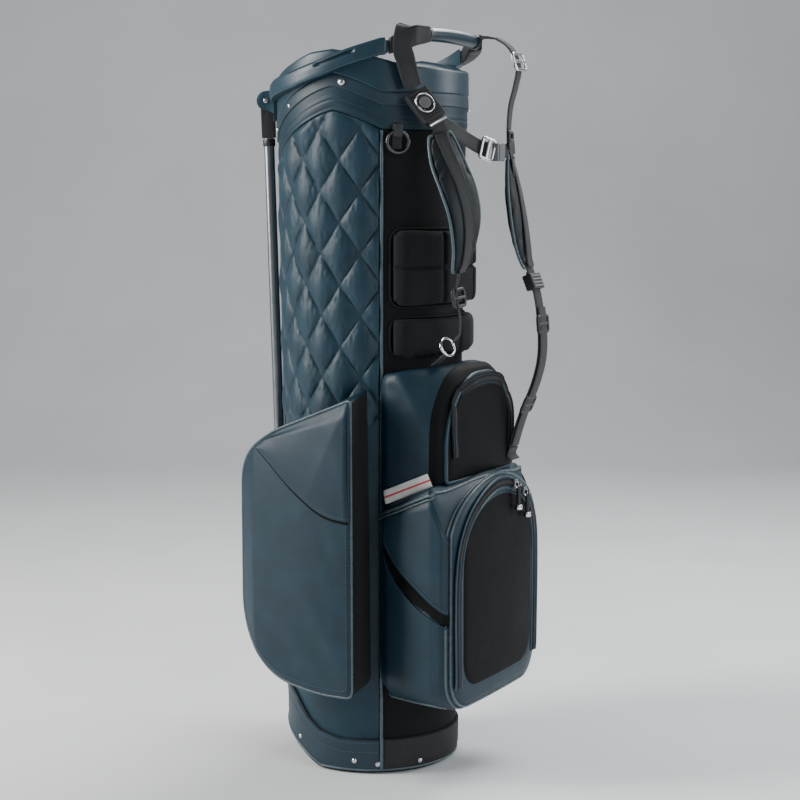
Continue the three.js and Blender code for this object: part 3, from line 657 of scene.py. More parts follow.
def trim_tape():
    """White woven tape with a thin red line down the middle."""
    s = Surface("trim_white_red", (0.78, 0.78, 0.75), 0.6, Sheen_Weight=0.2)
    along, across, _ = s.parts(s.strap())
    middle = s.math("LESS_THAN", s.math("ABSOLUTE", across), 0.0011)
    rib = s.math("SINE", s.times(along, 2 * math.pi / 0.0011))
    soil = s.noise(s.place(), 140, 5, 0.7)
    cloth = s.blend(soil, 0.35, 0.75, (0.70, 0.70, 0.67), (0.84, 0.84, 0.82))
    s.colour(s.mix(middle, cloth, (0.62, 0.05, 0.04)))
    s.rough(soil, 0.5, 0.75)
    s.bump(rib, 0.0002, 0.5)
    s.bump(soil, 0.0001, 0.4)
    return s.material


NAVY_DEEP = (0.0036, 0.0190, 0.0320)
NAVY_LIGHT = (0.0062, 0.0295, 0.0480)
LOOK = {
    "leather": leather("navy_leather", NAVY_DEEP, NAVY_LIGHT),
    "quilt": leather("quilted_leather", (0.0052, 0.0250, 0.0410), (0.0088, 0.0380, 0.0600), 820,
                     (0.42, 0.58)),
    "collar": moulded("collar_moulding", (0.0068, 0.0300, 0.0480), (0.0105, 0.0415, 0.0640), (0.34, 0.46)),
    "black_leather": leather("black_leather", (0.0022, 0.0024, 0.0028), (0.0042, 0.0045, 0.0052), 1150,
                             (0.55, 0.70), 0.10),
    "grip": leather("grip_leather", NAVY_DEEP, NAVY_LIGHT, 1150, (0.18, 0.30), 0.6),
    "pad": leather("pad_leather", (0.0048, 0.0075, 0.0105), (0.0085, 0.0130, 0.0175), 1150, (0.45, 0.6),
                   0.25),
    "mesh": spacer_mesh("black_spacer_mesh", (0.0085, 0.0090, 0.0105), (0.002, 0.002, 0.0024)),
    "mesh_pad": spacer_mesh("black_pad_mesh", (0.0080, 0.0085, 0.0100), (0.002, 0.002, 0.0024),
                            lambda s: s.join(*s.parts(s.place())[1:])),
    "web_plain": moulded("braided_cord", (0.010, 0.011, 0.013), (0.024, 0.026, 0.030), (0.6, 0.8), 1100),
    "web": webbing("black_webbing", (0.008, 0.0085, 0.010), (0.028, 0.030, 0.034)),
    "lining": woven("dark_lining", (0.012, 0.014, 0.017), (0.024, 0.027, 0.032)),
    "zip_tape": woven("zip_tape", (0.008, 0.009, 0.011), (0.018, 0.020, 0.024), 0.0011),
    "thread": moulded("stitch_thread", (0.016, 0.036, 0.050), (0.040, 0.075, 0.098), (0.6, 0.8)),
    "dark_thread": moulded("dark_thread", (0.008, 0.012, 0.016), (0.018, 0.028, 0.036), (0.6, 0.8)),
    # The piping's pale colour is painted highlight: it stands for the light that the raised cords and bound
    # edges catch.
    "piping": leather("piping_leather_painted_highlight", (0.048, 0.076, 0.092), (0.082, 0.116, 0.134), 1500, (0.22, 0.34)),
    "plastic": moulded("black_plastic", (0.007, 0.0075, 0.0085), (0.013, 0.014, 0.016)),
    "boot": moulded("boot_rubber", (0.0046, 0.0210, 0.0345), (0.0072, 0.0295, 0.0470), (0.42, 0.58)),
    "plastic_grey": moulded("button_plastic", (0.110, 0.114, 0.120), (0.150, 0.155, 0.162), (0.24, 0.36)),
    "black_rubber": moulded("black_rubber", (0.006, 0.0065, 0.007), (0.012, 0.0125, 0.013), (0.6, 0.8),
                            900),
    "leg": metal("satin_leg_tube", (0.30, 0.32, 0.345), (0.24, 0.40), (1, 1, 0.03), 1400),
    "steel": metal("polished_steel", (0.72, 0.73, 0.75), (0.10, 0.26)),
    "gunmetal": metal("gunmetal", (0.085, 0.090, 0.098), (0.22, 0.36)),
    "trim": trim_tape(),
}
make_camera()
make_studio()


# ---------- body: quilted panels, mesh panel, spine, piping ----------

QUILT_TURN = 26.0
QUILT_TALL = 74.5 * MM
QUILT_CROSS_TURN = -81.0
QUILT_CROSS_Z = 753.5 * MM
QUILT_LOW = 432 * MM
QUILT_PEAK = 812 * MM
PANEL_LOW = 10 * MM
QUILT_CELLS = 36
QUILT_PUFF = 5.6 * MM
SEAM_DEPTH = 0.9 * MM
PANEL_EDGE = 1.6


def rocker_low(degrees, radius):
    run = np.maximum(0, ROCKER_START - radius * np.cos(np.radians(degrees)))
    return run * ROCKER_SLOPE


def eased(x):
    x = np.clip(x, 0, 1)
    return x * x * (3 - 2 * x)


def quilt_height(degrees, z):
    """How far the padded leather stands off the tube: diamonds that sink at their seams."""
    u = (degrees - QUILT_CROSS_TURN) / QUILT_TURN
    v = (z - QUILT_CROSS_Z) / QUILT_TALL
    pillow = np.abs(np.sin(math.pi * (u + v)) * np.sin(math.pi * (u - v))) ** 0.56
    pillow = pillow * (1 + 0.10 * noise(on_tube(degrees, z, 0), 30, 3))
    pull = 0.5 * MM * noise(np.stack([degrees * 0.6, z * 130], -1), 1.0, 5) * (1 - pillow) * pillow * 4
    edge = np.minimum(degrees + BACK_EDGE, -FRONT_EDGE - degrees) / 3.2
    top = (quilt_top(degrees) - z) / (9 * MM)
    fade = eased(edge) ** 0.6 * eased(top) ** 0.6 * eased((z - QUILT_LOW) / (14 * MM))
    plain = 0.6 * MM * eased(edge)
    quilted = (QUILT_PUFF * pillow + pull) * fade - SEAM_DEPTH * fade + plain * (1 - fade)
    return np.where(z > QUILT_LOW, quilted, plain)


def over_floor(degrees):
    """The lower edge of the body's panels."""
    return np.maximum(PANEL_LOW, rocker_low(degrees, BASE_RADIUS) + PANEL_LOW)


def quilted_panel():
    step = QUILT_TURN / QUILT_CELLS
    start, end = -BACK_EDGE + PANEL_EDGE, -FRONT_EDGE - PANEL_EDGE
    first = math.ceil((start - QUILT_CROSS_TURN) / step)
    last = math.floor((end - QUILT_CROSS_TURN) / step)
    columns = QUILT_CROSS_TURN + step * np.arange(first, last + 1)
    columns = np.concatenate([[start], columns, [end]])
    rise = QUILT_TALL / QUILT_CELLS
    lowest = math.ceil((QUILT_LOW - QUILT_CROSS_Z) / rise)
    highest = math.ceil((QUILT_PEAK - QUILT_CROSS_Z) / rise)
    rows = QUILT_CROSS_Z + rise * np.arange(lowest, highest + 1)
    plain = np.linspace(PANEL_LOW, rows[0], 34)[:-1]
    rows = np.concatenate([plain, rows])
    degrees, z = np.meshgrid(columns, rows)
    z = np.clip(z, over_floor(degrees), quilt_top(degrees) - 0.4 * MM)
    height = quilt_height(degrees, z)
    outer = on_tube(degrees, z, height)
    count, wide = degrees.shape
    faces = []
    for i in range(count - 1):
        for j in range(wide - 1):
            a, b, c, d = i * wide + j, i * wide + j + 1, (i + 1) * wide + j + 1, (i + 1) * wide + j
            if z[i, j] == z[i + 1, j] and z[i, j + 1] == z[i + 1, j + 1]:
                continue
            # Each quad is split along its lower diagonal, so that a seam stays one clean crease.
            if height[i, j] + height[i + 1, j + 1] < height[i, j + 1] + height[i + 1, j]:
                faces += [(a, b, c), (a, c, d)]
            else:
                faces += [(a, b, d), (b, c, d)]
    bm = bmesh.new()
    verts = [bm.verts.new(v) for v in outer.reshape(-1, 3)]
    for face in faces:
        bm.faces.new([verts[k] for k in face])
    bmesh.ops.remove_doubles(bm, verts=bm.verts, dist=1e-6)
    bmesh.ops.delete(bm, geom=[v for v in bm.verts if not v.link_faces], context="VERTS")
    # The panel's edges turn in to the liner.
    rim = [e for e in bm.edges if e.is_boundary]
    turned = bmesh.ops.extrude_edge_only(bm, edges=rim)["geom"]
    for v in turned:
        if isinstance(v, bmesh.types.BMVert):
            flat = Vector((v.co.x, v.co.y, 0))
            v.co -= flat.normalized() * (flat.length - radius_at(v.co.z) + PANEL)
    bm.verts.index_update()
    result = [tuple(v.co) for v in bm.verts], [tuple(v.index for v in f.verts) for f in bm.faces]
    bm.free()
    return result


def quilt_seams():
    """Stitch rows along the bottom of every quilting seam."""
    rows = []
    start, end = -BACK_EDGE + 3.5, -FRONT_EDGE - 3.5
    for lean in (1, -1):
        for k in range(-9, 4):
            degrees = np.linspace(start, end, 160)
            u = (degrees - QUILT_CROSS_TURN) / QUILT_TURN
            z = QUILT_CROSS_Z + lean * (k - u) * QUILT_TALL
            keep = (z > QUILT_LOW + 0.008) & (z < quilt_top(degrees) - 7 * MM)
            if keep.sum() < 8:
                continue
            degrees, z = degrees[keep], z[keep]
            line = on_tube(degrees, z, quilt_height(degrees, z) + 0.15 * MM)
            rows.append(stitch_row(line, polar(1.0, degrees, 0.0), 3.9 * MM, 2.7 * MM, 0.38 * MM))
    return merged(rows)


def tube_slab(degrees, low, high, rows, outside):
    """A closed piece of the tube's wall. outside(degrees, z) is its height off the tube."""
    t = np.asarray(rows)[:, None] if hasattr(rows, "__len__") else np.linspace(0, 1, rows)[:, None]
    turn = np.asarray(degrees, float)[None, :]
    z = low(turn) + (high(turn) - low(turn)) * t
    turn = turn + 0 * z
    verts, faces = slab(on_tube(turn, z, outside(turn, z)), on_tube(turn, z, -PANEL))
    uv = np.stack([np.radians(turn) * MEAN_RADIUS, z], -1).reshape(-1, 2)
    return verts, faces, np.concatenate([uv, uv])


def make_body():
    pair("quilted_panel", quilted_panel(), "quilt", sharp=80, nodes=["side_panel"])
    pair("quilt_stitching", quilt_seams(), "dark_thread")

    def under_band(turn):
        return quilt_top(turn) - 1.0 * MM

    def mesh_height(degrees, z):
        edge = np.minimum(FRONT_EDGE - np.abs(degrees), 5) / 5
        return -0.6 * MM + 1.4 * MM * eased(edge) + 0.25 * MM * noise(polar(0.1, degrees, z), 22, 2)

    turns = np.linspace(-FRONT_EDGE + 1.4, FRONT_EDGE - 1.4, 72)
    knit = tube_slab(turns, over_floor, under_band, 150, mesh_height)
    add("mesh_panel", knit, "mesh", nodes=["front_panel"])

    def spine_height(degrees, z):
        away = np.abs(wrapped(degrees) - 180)
        rib = np.exp(-((away - 14) / 1.0) ** 2) * -1.0 * MM
        edge = np.minimum((180 - BACK_EDGE) - away, 5) / 5
        return -0.6 * MM + 1.8 * MM * eased(edge) + rib + 0.2 * MM * noise(polar(0.1, degrees, z), 18, 7)

    turns = np.linspace(BACK_EDGE + 1.4, 360 - BACK_EDGE - 1.4, 60)
    spine = tube_slab(turns, over_floor, under_band, 150, spine_height)
    add("spine_leather", spine, "leather", nodes=["spine_panel"])
    rows = []
    for turn in (180 - 16.5, 180 - 11.5, 180 + 11.5, 180 + 16.5):
        z = np.linspace(0.13, 0.765, 200)
        line = on_tube(turn, z, spine_height(turn, z) + 0.1 * MM)
        rows.append(stitch_row(line, polar(1.0, turn + 0 * z, 0.0)))
    add("spine_stitching", merged(rows), "thread")

    for edge, which in ((FRONT_EDGE, "front"), (BACK_EDGE, "back")):
        low = 0.050 if which == "front" else 0.108
        z = np.linspace(low, float(quilt_top(edge)) - 0.5 * MM, 60)
        cord = rope(on_tube(-edge + 0 * z, z, 0.9 * MM), 2.15 * MM, 12)
        nodes = ["side_piping"] if which == "front" else []
        pair(f"panel_piping_{which}", cord, "piping", nodes=nodes)
    restyled("body_tube", "lining")


# ---------- collar, band, rivets, arms, dividers ----------

FLANGE_TALL = 15.5 * MM
COLLAR_INNER_LOW = 781 * MM
BAND_STITCH = 13.5 * MM


def ring_loft(section_at, columns):
    """A ring whose closed (r, z) section changes with the angle round the tube."""
    turns = np.linspace(-180, 180, columns, endpoint=False)
    sections = [polar(np.array([p[0] for p in s]), t, np.array([p[1] for p in s]))
                for t, s in ((t, section_at(t)) for t in turns)]
    return lofted(np.array(sections), closed=True)


def soft_outline(points, radius, arc=4):
    """A closed 2-D outline with rounded corners. radius is one value or one for each corner."""
    points = [np.asarray(p, float) for p in points]
    radii = np.broadcast_to(radius, len(points))
    result = []
    for k, here in enumerate(points):
        back, ahead = points[k - 1] - here, points[(k + 1) % len(points)] - here
        reach = min(radii[k], 0.45 * np.linalg.norm(back), 0.45 * np.linalg.norm(ahead))
        a, b = here + unit(back) * reach, here + unit(ahead) * reach
        for t in np.linspace(0, 1, arc):
            result.append((1 - t) ** 2 * a + 2 * t * (1 - t) * here + t * t * b)
    return np.array(result)


def band_height(degrees, z):
    s = z - quilt_top(degrees)
    fold = eased(s / (1.6 * MM))
    dip = np.exp(-((s - BAND_STITCH) / (1.1 * MM)) ** 2) * -0.7 * MM
    dip += np.exp(-((s - 4.2 * MM) / (1.0 * MM)) ** 2) * -0.45 * MM
    pad = 0.9 * MM * np.sin(math.pi * np.clip((s - 4 * MM) / (16 * MM), 0, 1))
    ripple = 0.18 * MM * noise(polar(0.1, degrees, z), 40, 11)
    return -1.2 * MM + 3.0 * MM * fold + dip + pad * 0.7 + ripple


def arch_line(offset, height, count=420, start=-180, end=180):
    """A line that follows the arched collar edge, a given distance above the quilt."""
    turn = np.linspace(start, end, count)
    z = quilt_top(turn) + offset
    return on_tube(turn, z, height), polar(1.0, turn, 0.0)


def make_collar():
    turns = np.linspace(-180, 180, 361)
    rows = np.unique(np.concatenate([np.linspace(0, 0.08, 5), np.linspace(0.08, 1, 34)]))
    skin = tube_slab(turns, lambda t: quilt_top(t) - 0.6 * MM, lambda t: collar_low(t) - 1.2 * MM, rows,
                     band_height)
    add("collar_band_leather", skin, "leather", nodes=["collar_band"])
    line, out = arch_line(BAND_STITCH, 0.75 * MM)
    low_line, low_out = arch_line(4.2 * MM, 1.0 * MM)
    add("collar_band_stitching", merged([stitch_row(line, out), stitch_row(low_line, low_out)]), "thread")

    def flange(turn):
        high = float(collar_low(turn)) + 0.4 * MM
        low = high - FLANGE_TALL
        r0, r1 = radius_at(low), radius_at(high)
        return soft_outline([(r0 + 0.6 * MM, low), (r0 + 3.6 * MM, low), (r0 + 3.3 * MM, low + 4 * MM),
                             (r1 + 3.0 * MM, high - 3 * MM), (r1 + 2.2 * MM, high), (r1 + 0.6 * MM, high)],
                            [0.2 * MM, 1.2 * MM, 2 * MM, 2 * MM, 1 * MM, 0.2 * MM])

    add("collar_flange", ring_loft(flange, 300), "boot")

    rim = RIM_RADIUS

    def collar(turn):
        low, top = float(collar_low(turn)), float(collar_top(turn))
        corners = [(rim + 1.4 * MM, low), (rim + 3.2 * MM, low + 1.2 * MM), (rim + 2.9 * MM, low + 9 * MM),
                   (rim + 3 * MM, top - 8 * MM), (rim + 2.4 * MM, top - 2.2 * MM), (rim - 2 * MM, top),
                   (rim - 8.5 * MM, top - 0.2 * MM), (rim - 11 * MM, top - 5 * MM),
                   (rim - 11 * MM, COLLAR_INNER_LOW), (rim - 5.2 * MM, COLLAR_INNER_LOW),
                   (rim - 4.4 * MM, low)]
        return soft_outline(corners, mm([0.8, 1.6, 4, 4, 3.6, 3.6, 3.6, 3.6, 0.6, 0.6, 0.6]), 5)

    add("collar_moulding", ring_loft(collar, 300), "collar", nodes=["collar"])

    big = [(-78.0, 0.8445, 4.3)]
    small = [(-117.5, 0.819, 2.8), (-140.0, 0.792, 2.6), (-30.0, 0.815, 2.6)]
    heads = [dome(on_tube(t, z, 3.5 * MM), polar(1.0, t, 0.05), r * MM, 2.0 * MM, 28)
             for t, z, r in big + small]
    seats = [dome(on_tube(t, z, 3.2 * MM), polar(1.0, t, 0.05), (r + 1.2) * MM, 0.9 * MM, 28)
             for t, z, r in big]
    pair("collar_rivets", merged(heads), "steel")
    pair("collar_rivet_seat", merged(seats), "plastic")


ARM_TOPS = [[50, 56, 74, 88, 108, 128, 140, 152], [896, 895, 883, 872, 860, 852.5, 846, 838]]
ARM_START = -155.5
ARM_END = -52.0


def make_arms():
    inner = RIM_RADIUS + 3.3 * MM
    turns = np.concatenate([[ARM_START, ARM_START + 0.25, ARM_START + 0.8],
                            np.linspace(ARM_START + 1.6, ARM_END - 1.6, 150),
                            [ARM_END - 0.8, ARM_END - 0.25, ARM_END]])
    sections = []
    for turn in turns:
        # The arm thins towards the leg lug. Its ends are rounded off.
        thick = float(eased((turn - ARM_START) / 26))
        top = float(np.interp(-turn, *ARM_TOPS)) * MM - 1.5 * MM * (1 - thick)
        low = top - (13.5 + 6.5 * thick) * MM
        ease = min(1.0, 0.78 + 0.22 * min(turn - ARM_START, ARM_END - turn) / 1.6)
        # A long slot runs along the upper face.
        slot = float(eased((turn + 93) / 3.0) * eased((-69 - turn) / 3.0)) * 3.4 * MM
        mid = (top + low) / 2
        out = inner + (5.6 + 5.0 * thick) * MM * ease
        corners = [(inner, low), (out - 0.8 * MM, low), (out, low + 3.5 * MM),
                   (out + 0.4 * MM, mid + 1.5 * MM), (out + 0.3 * MM - slot, mid + 2.6 * MM),
                   (out - slot, mid + 5.4 * MM), (out, mid + 6.4 * MM), (out - 2.4 * MM, top), (inner, top)]
        outline = soft_outline(corners, mm([0.4, 2.2, 2, 0.9, 0.5, 0.5, 0.9, 2.4, 0.4]), 5)
        outline[:, 1] = mid + (outline[:, 1] - mid) * ease
        sections.append(polar(outline[:, 0], turn, outline[:, 1]))
    pair("collar_arm_moulding", lofted(np.array(sections)), "collar", sharp=35, nodes=["collar_arm"])
    softened("leg_bracket", 1.1 * MM, "collar")


def make_inside():
    softened("top_divider", 3.2 * MM, "leather", segments=4)
    for name in ("long", "back", "front"):
        restyled(f"divider_sheet_{name}", "lining")
    # Stitched seams along the padded divider bars.
    bars_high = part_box("top_divider")[1]
    rows = []
    top = bars_high.z + 0.1 * MM
    reach = bars_high.x - 8 * MM
    for edge in (-3.6 * MM, 3.6 * MM):
        rows.append(stitch_row(np.array([(-reach, edge, top), (reach, edge, top)]), (0, 0, 1)))
        for x in (-36 * MM, 36 * MM):
            side = math.sqrt(reach**2 - (36 * MM) ** 2)
            rows.append(stitch_row(np.array([(x + edge, -side, top), (x + edge, side, top)]), (0, 0, 1)))
    add("divider_stitching", merged(rows), "thread")


# ---------- base ----------

BOOT_TOPS = [[-130, -84, -57, -34, -14, 14, 130], [106, 100, 84, 62, 50, 44, 44]]
BOOT_OUT = 3.6 * MM


def boot_top(degrees):
    x = BASE_RADIUS * np.cos(np.radians(degrees)) / MM
    return np.interp(x, *BOOT_TOPS) * MM


def boot_low(degrees):
    return rocker_low(degrees, BASE_RADIUS + BOOT_OUT)


def boot_line(turns, z, lift):
    """Points on the boot's outer face, whose foot curves in to the floor."""
    tuck = np.where(z < 20 * MM, 3.2 * MM * (1 - np.clip(z / (20 * MM), 0, 1)) ** 2.2, 0)
    return on_tube(turns, z, BOOT_OUT - tuck + lift)


def boot_skin(start, end, columns, top_drop):
    turns = np.linspace(start, end, columns)
    t = np.concatenate([[0, 0.012], np.linspace(0.03, 0.97, 40), [0.985, 0.994, 1]])
    profile = np.concatenate([[-0.7, 0.35], np.full(40, 1.3), [1.15, 0.6, -0.7]]) * MM
    low = boot_low(turns)[None, :] + 4.5 * MM
    high = boot_top(turns)[None, :] + top_drop
    z = low + (high - low) * t[:, None]
    degrees = turns[None, :] + 0 * z
    side = np.minimum(turns - start, end - turns) / 0.8
    lift = profile[:, None] * (0.2 + 0.8 * eased(side))[None, :]
    lift = lift + 0.12 * MM * noise(polar(0.1, degrees, z), 45, 4)
    return slab(boot_line(degrees, z, lift), boot_line(degrees, z, -1.0 * MM))


def make_boot():
    softened("base_boot", 0.7 * MM, "black_rubber", segments=2)
    back = 360 - FRONT_EDGE - 1.4
    add("boot_leather_wrap", boot_skin(FRONT_EDGE + 1.4, back, 300, -0.6 * MM), "boot")
    add("boot_front_wrap", boot_skin(-FRONT_EDGE + 1.4, FRONT_EDGE - 1.4, 120, -0.6 * MM), "black_rubber")
    turns = np.linspace(FRONT_EDGE + 2.2, back - 0.8, 500)
    seams = [boot_line(turns, boot_top(turns) - drop, 1.35 * MM) for drop in (4.2 * MM, 16 * MM)]
    add("boot_stitching", merged([stitch_row(seam, polar(1.0, turns, 0.0)) for seam in seams]), "thread")
    ring = np.linspace(-180, 180, 240, endpoint=False)
    beads = [rope(boot_line(ring, boot_low(ring) + 5.2 * MM, 1.0 * MM), 1.5 * MM, 10, closed=True)]
    add("boot_rim_bead", merged(beads), "piping")

    seats = [(-118.0, 0.034), (-73.0, 0.017), (-57.5, 0.013), (-28.0, 0.0125)]
    heads = [dome(boot_line(np.array(t), np.array(z), 1.1 * MM), polar(1.0, t, 0.0), 3.1 * MM, 1.7 * MM, 26)
             for t, z in seats]
    pair("boot_rivets", merged(heads), "steel")
    edge = float(boot_top(FRONT_EDGE))
    z = np.linspace(0.0075, edge + 5 * MM, 24)
    lift = np.interp(z, [0, edge, edge + 5 * MM], mm([1.3, 1.3, -2.4]))
    cord = rope(boot_line(-FRONT_EDGE + 0 * z, z, lift), 2.1 * MM, 12)
    pair("boot_piping", cord, "piping")
    softened("kick_foot", 0.8 * MM, "plastic", body="foot", segments=2)
    restyled("foot_pin", "steel")
    restyled("push_rod", "leg")


# ---------- legs and handle ----------

LEG_PIVOT = mm((-126, -45, 829))
LEG_END = mm((-114, -29, 132))
LEG_RADIUS = 6.5 * MM


def turned(points, start, axis, radii, sides=32):
    """A lathed form along a line: points are distances from its start."""
    axis = unit(axis)
    side = unit(np.cross(axis, [0.2, 0.9, 0.1]))
    up = np.cross(axis, side)
    a = full_turn(sides)[:, None]
    circle = np.cos(a) * side + np.sin(a) * up
    return lofted(np.array([start + axis * d + circle * r for d, r in zip(points, radii)]))


def make_legs():
    axis = unit(LEG_END - LEG_PIVOT)
    length = float(np.linalg.norm(LEG_END - LEG_PIVOT))
    for _, label in SIDES:
        softened(f"leg_head_{label}", 1.4 * MM, "plastic", body=f"leg_{label}")
        softened(f"leg_pin_{label}", 0.6 * MM, "steel", segments=2)
    top, low = 46.3 * MM, length - 46 * MM
    r = LEG_RADIUS
    stations = [top, top + 0.4 * MM, top + 20 * MM, length / 2, low - 6 * MM, low - 0.4 * MM, low]
    tube = turned(stations, LEG_PIVOT, axis, [r - 0.4 * MM, r, r, r, r, r, r - 0.4 * MM])
    pair("leg_tube_anodised", tube, "leg", body="leg_{}", sharp=30, nodes=["leg_tube"])
    collars = []
    for at, extra in ((top + 1 * MM, 1.3), (low - 10 * MM, 1.1)):
        radii = r + mm([-0.5, extra - 0.6, extra, extra, extra - 0.6, -0.5])
        collars.append(turned(mm([0, 0, 0.8, 8.2, 9, 9]) + at, LEG_PIVOT, axis, radii))
    pair("leg_ferrules", merged(collars), "plastic", body="leg_{}")
    d, radii = [0.3], [6.9]
    for k in range(7):
        d += [2.2 + 4.4 * k, 3.6 + 4.4 * k, 4.4 + 4.4 * k, 5.8 + 4.4 * k]
        radii += [7.9, 7.9, 7.2, 7.2]
    d += [36, 40, 43, 45.2, 45.9]
    radii += [8.1, 7.9, 7.0, 5.0, 2.0]
    foot = turned(np.array(d) * MM + low, LEG_PIVOT, axis, np.array(radii) * MM)
    pair("leg_foot_ribbed", foot, "black_rubber", body="leg_{}", sharp=60,
         nodes=["leg_foot"])


GRIP_X = 109 * MM
GRIP_Z = 900 * MM


def make_handle():
    t = np.linspace(-1, 1, 90)
    route = np.stack([GRIP_X + 0 * t, t * 65.5 * MM, GRIP_Z + 2.5 * MM * (1 - t * t)], -1)
    radius = (7.6 + 0.9 * (1 - np.abs(t) ** 5)) * MM
    radius = radius + 0.12 * MM * noise(np.stack([t * 6, t * 0], -1), 1.0, 8)
    turn = full_turn(40)
    seam = 0.5 * MM * np.exp(-((turn - 1.5 * math.pi) / 0.09) ** 2)
    sections = []
    for at, r in zip(route, radius):
        ring = r - seam
        sections.append(np.stack([at[0] + ring * np.cos(turn) * 1.04, np.full(40, at[1]),
                                  at[2] + ring * np.sin(turn)], -1))
    add("handle_grip_leather", lofted(np.array(sections)), "grip", nodes=["handle_grip"])
    rows = []
    for lean in (-1.9 * MM, 1.9 * MM):
        line = route + np.array([lean, 0, 0]) - UP * (radius[:, None] - 0.35 * MM)
        rows.append(stitch_row(line[3:-3], (0, 0, -1)))
    add("handle_stitching", merged(rows), "thread")
    ferrules = []
    for end in (-1, 1):
        d = mm([-0.2, 0, 1, 7, 8, 8.2])
        r = mm([6.0, 9.0, 9.6, 9.4, 8.9, 6.0])
        start = np.array([GRIP_X, end * 66.4 * MM, GRIP_Z])
        ferrules.append(turned(d, start, np.array([0, -end, 0.03]), r))
    add("handle_ferrules", merged(ferrules), "plastic")
    for _, label in SIDES:
        softened(f"handle_bracket_{label}", 2.4 * MM, "plastic", segments=4, angle=12)


# ---------- pockets ----------


def resampled(loop, count):
    """The same closed line with evenly spaced points, from its first point on."""
    closed = np.concatenate([loop, loop[:1]])
    reach = reach_along(closed)
    at = np.linspace(0, reach[-1], count, endpoint=False)
    return at_reach(at, reach, closed)


class Rim:
    """The outline of a pocket's face in two flat directions, and how far a point lies inside it."""

    def __init__(self, outline):
        self.outline = outline
        self.centre = (outline.max(0) + outline.min(0)) / 2
        away = outline - self.centre
        angle = np.arctan2(away[:, 1], away[:, 0])
        order = np.argsort(angle)
        self.angles = angle[order]
        self.reach = np.linalg.norm(away, axis=1)[order]

    def inside(self, points):
        """0 at the middle of the face, 1 on its outline."""
        away = np.asarray(points, float) - self.centre
        angle = np.arctan2(away[..., 1], away[..., 0])
        return np.linalg.norm(away, axis=-1) / np.interp(angle, self.angles, self.reach, period=2 * math.pi)


def crowned(rho, crown, fillet_share, fillet):
    """Height of a stuffed face over its seam: a dome with a tight roll at the rim."""
    roll = np.clip((rho - 1 + fillet_share) / fillet_share, 0, 1)
    return crown * (1 - np.clip(rho, 0, 1) ** 2.2) - fillet * (1 - np.sqrt(np.maximum(0, 1 - roll**2)))


def cap(rim, place, rings):
    """The face inside a rim: rings of points that close on its middle."""
    flat = [rim.centre + (rim.outline - rim.centre) * r for r in rings]
    grid = np.array([place(f) for f in flat])
    rows, columns = grid.shape[:2]
    faces = grid_faces(rows, columns, False, True)
    verts = np.concatenate([grid.reshape(-1, 3), place(rim.centre[None])])
    last = (rows - 1) * columns
    faces += [(last + j, last + (j + 1) % columns, rows * columns) for j in range(columns)]
    return verts, faces


def sheet(grid, looped=False):
    """A skin over a grid of points, which may close on itself."""
    return grid.reshape(-1, 3), grid_faces(*grid.shape[:2], False, looped)


def patch(low, high, place, rows, lift, edge_roll=0.02, side_fade=0.0):
    """A panel sewn over a face, between two lines on it, with a rolled lower edge."""
    t = np.concatenate([[0, 0.15, 0.4, 0.7, 1.0], np.linspace(1.6, 1 / edge_roll, rows)]) * edge_roll
    height = np.concatenate([[-0.6, 0.35, 0.75, 0.95, 1.0], np.full(rows, 1.0)])
    flat = low[None] + (high - low)[None] * t[:, None, None]
    count = len(low)
    s = np.linspace(0, 1, count)
    fade = np.ones(count) if side_fade == 0 else eased(np.minimum(s, 1 - s) / side_fade)
    rise = lift * height[:, None] * (1 - eased((t[:, None] - 0.90) / 0.10) * 0.9)
    rise = rise * (0.15 + 0.85 * fade)[None]
    rise = rise + 0.7 * lift * np.sin(math.pi * t[:, None] ** 0.7) * fade[None]
    return np.array([[place(flat[i], rise[i])] for i in range(len(t))])[:, 0]


SIDE_FACE_A = mm((-88, -145))
SIDE_FACE_B = mm((62, -164))
SIDE_RIM = mm([(-115, 182), (-115, 384), (-66, 423), (60, 472), (61, 114), (8, 112), (-60, 122)])
SIDE_RIM_RADII = mm([40, 52, 60, 5, 10, 22, 42])
SIDE_SLASH = mm([(-81, 407), (-59, 391), (-40, 375), (-21, 360), (-1, 347), (16, 337), (36, 330),
                 (60, 327)])


def side_plane(x):
    """The flat of the pocket's face: how far out it lies at x, with its back corner turned in."""
    slope = (SIDE_FACE_B[1] - SIDE_FACE_A[1]) / (SIDE_FACE_B[0] - SIDE_FACE_A[0])
    flat = SIDE_FACE_A[1] + slope * (x - SIDE_FACE_A[0])
    back = np.maximum(0, -84 * MM - x)
    return flat + 0.46 * back * back / (back + 5 * MM)


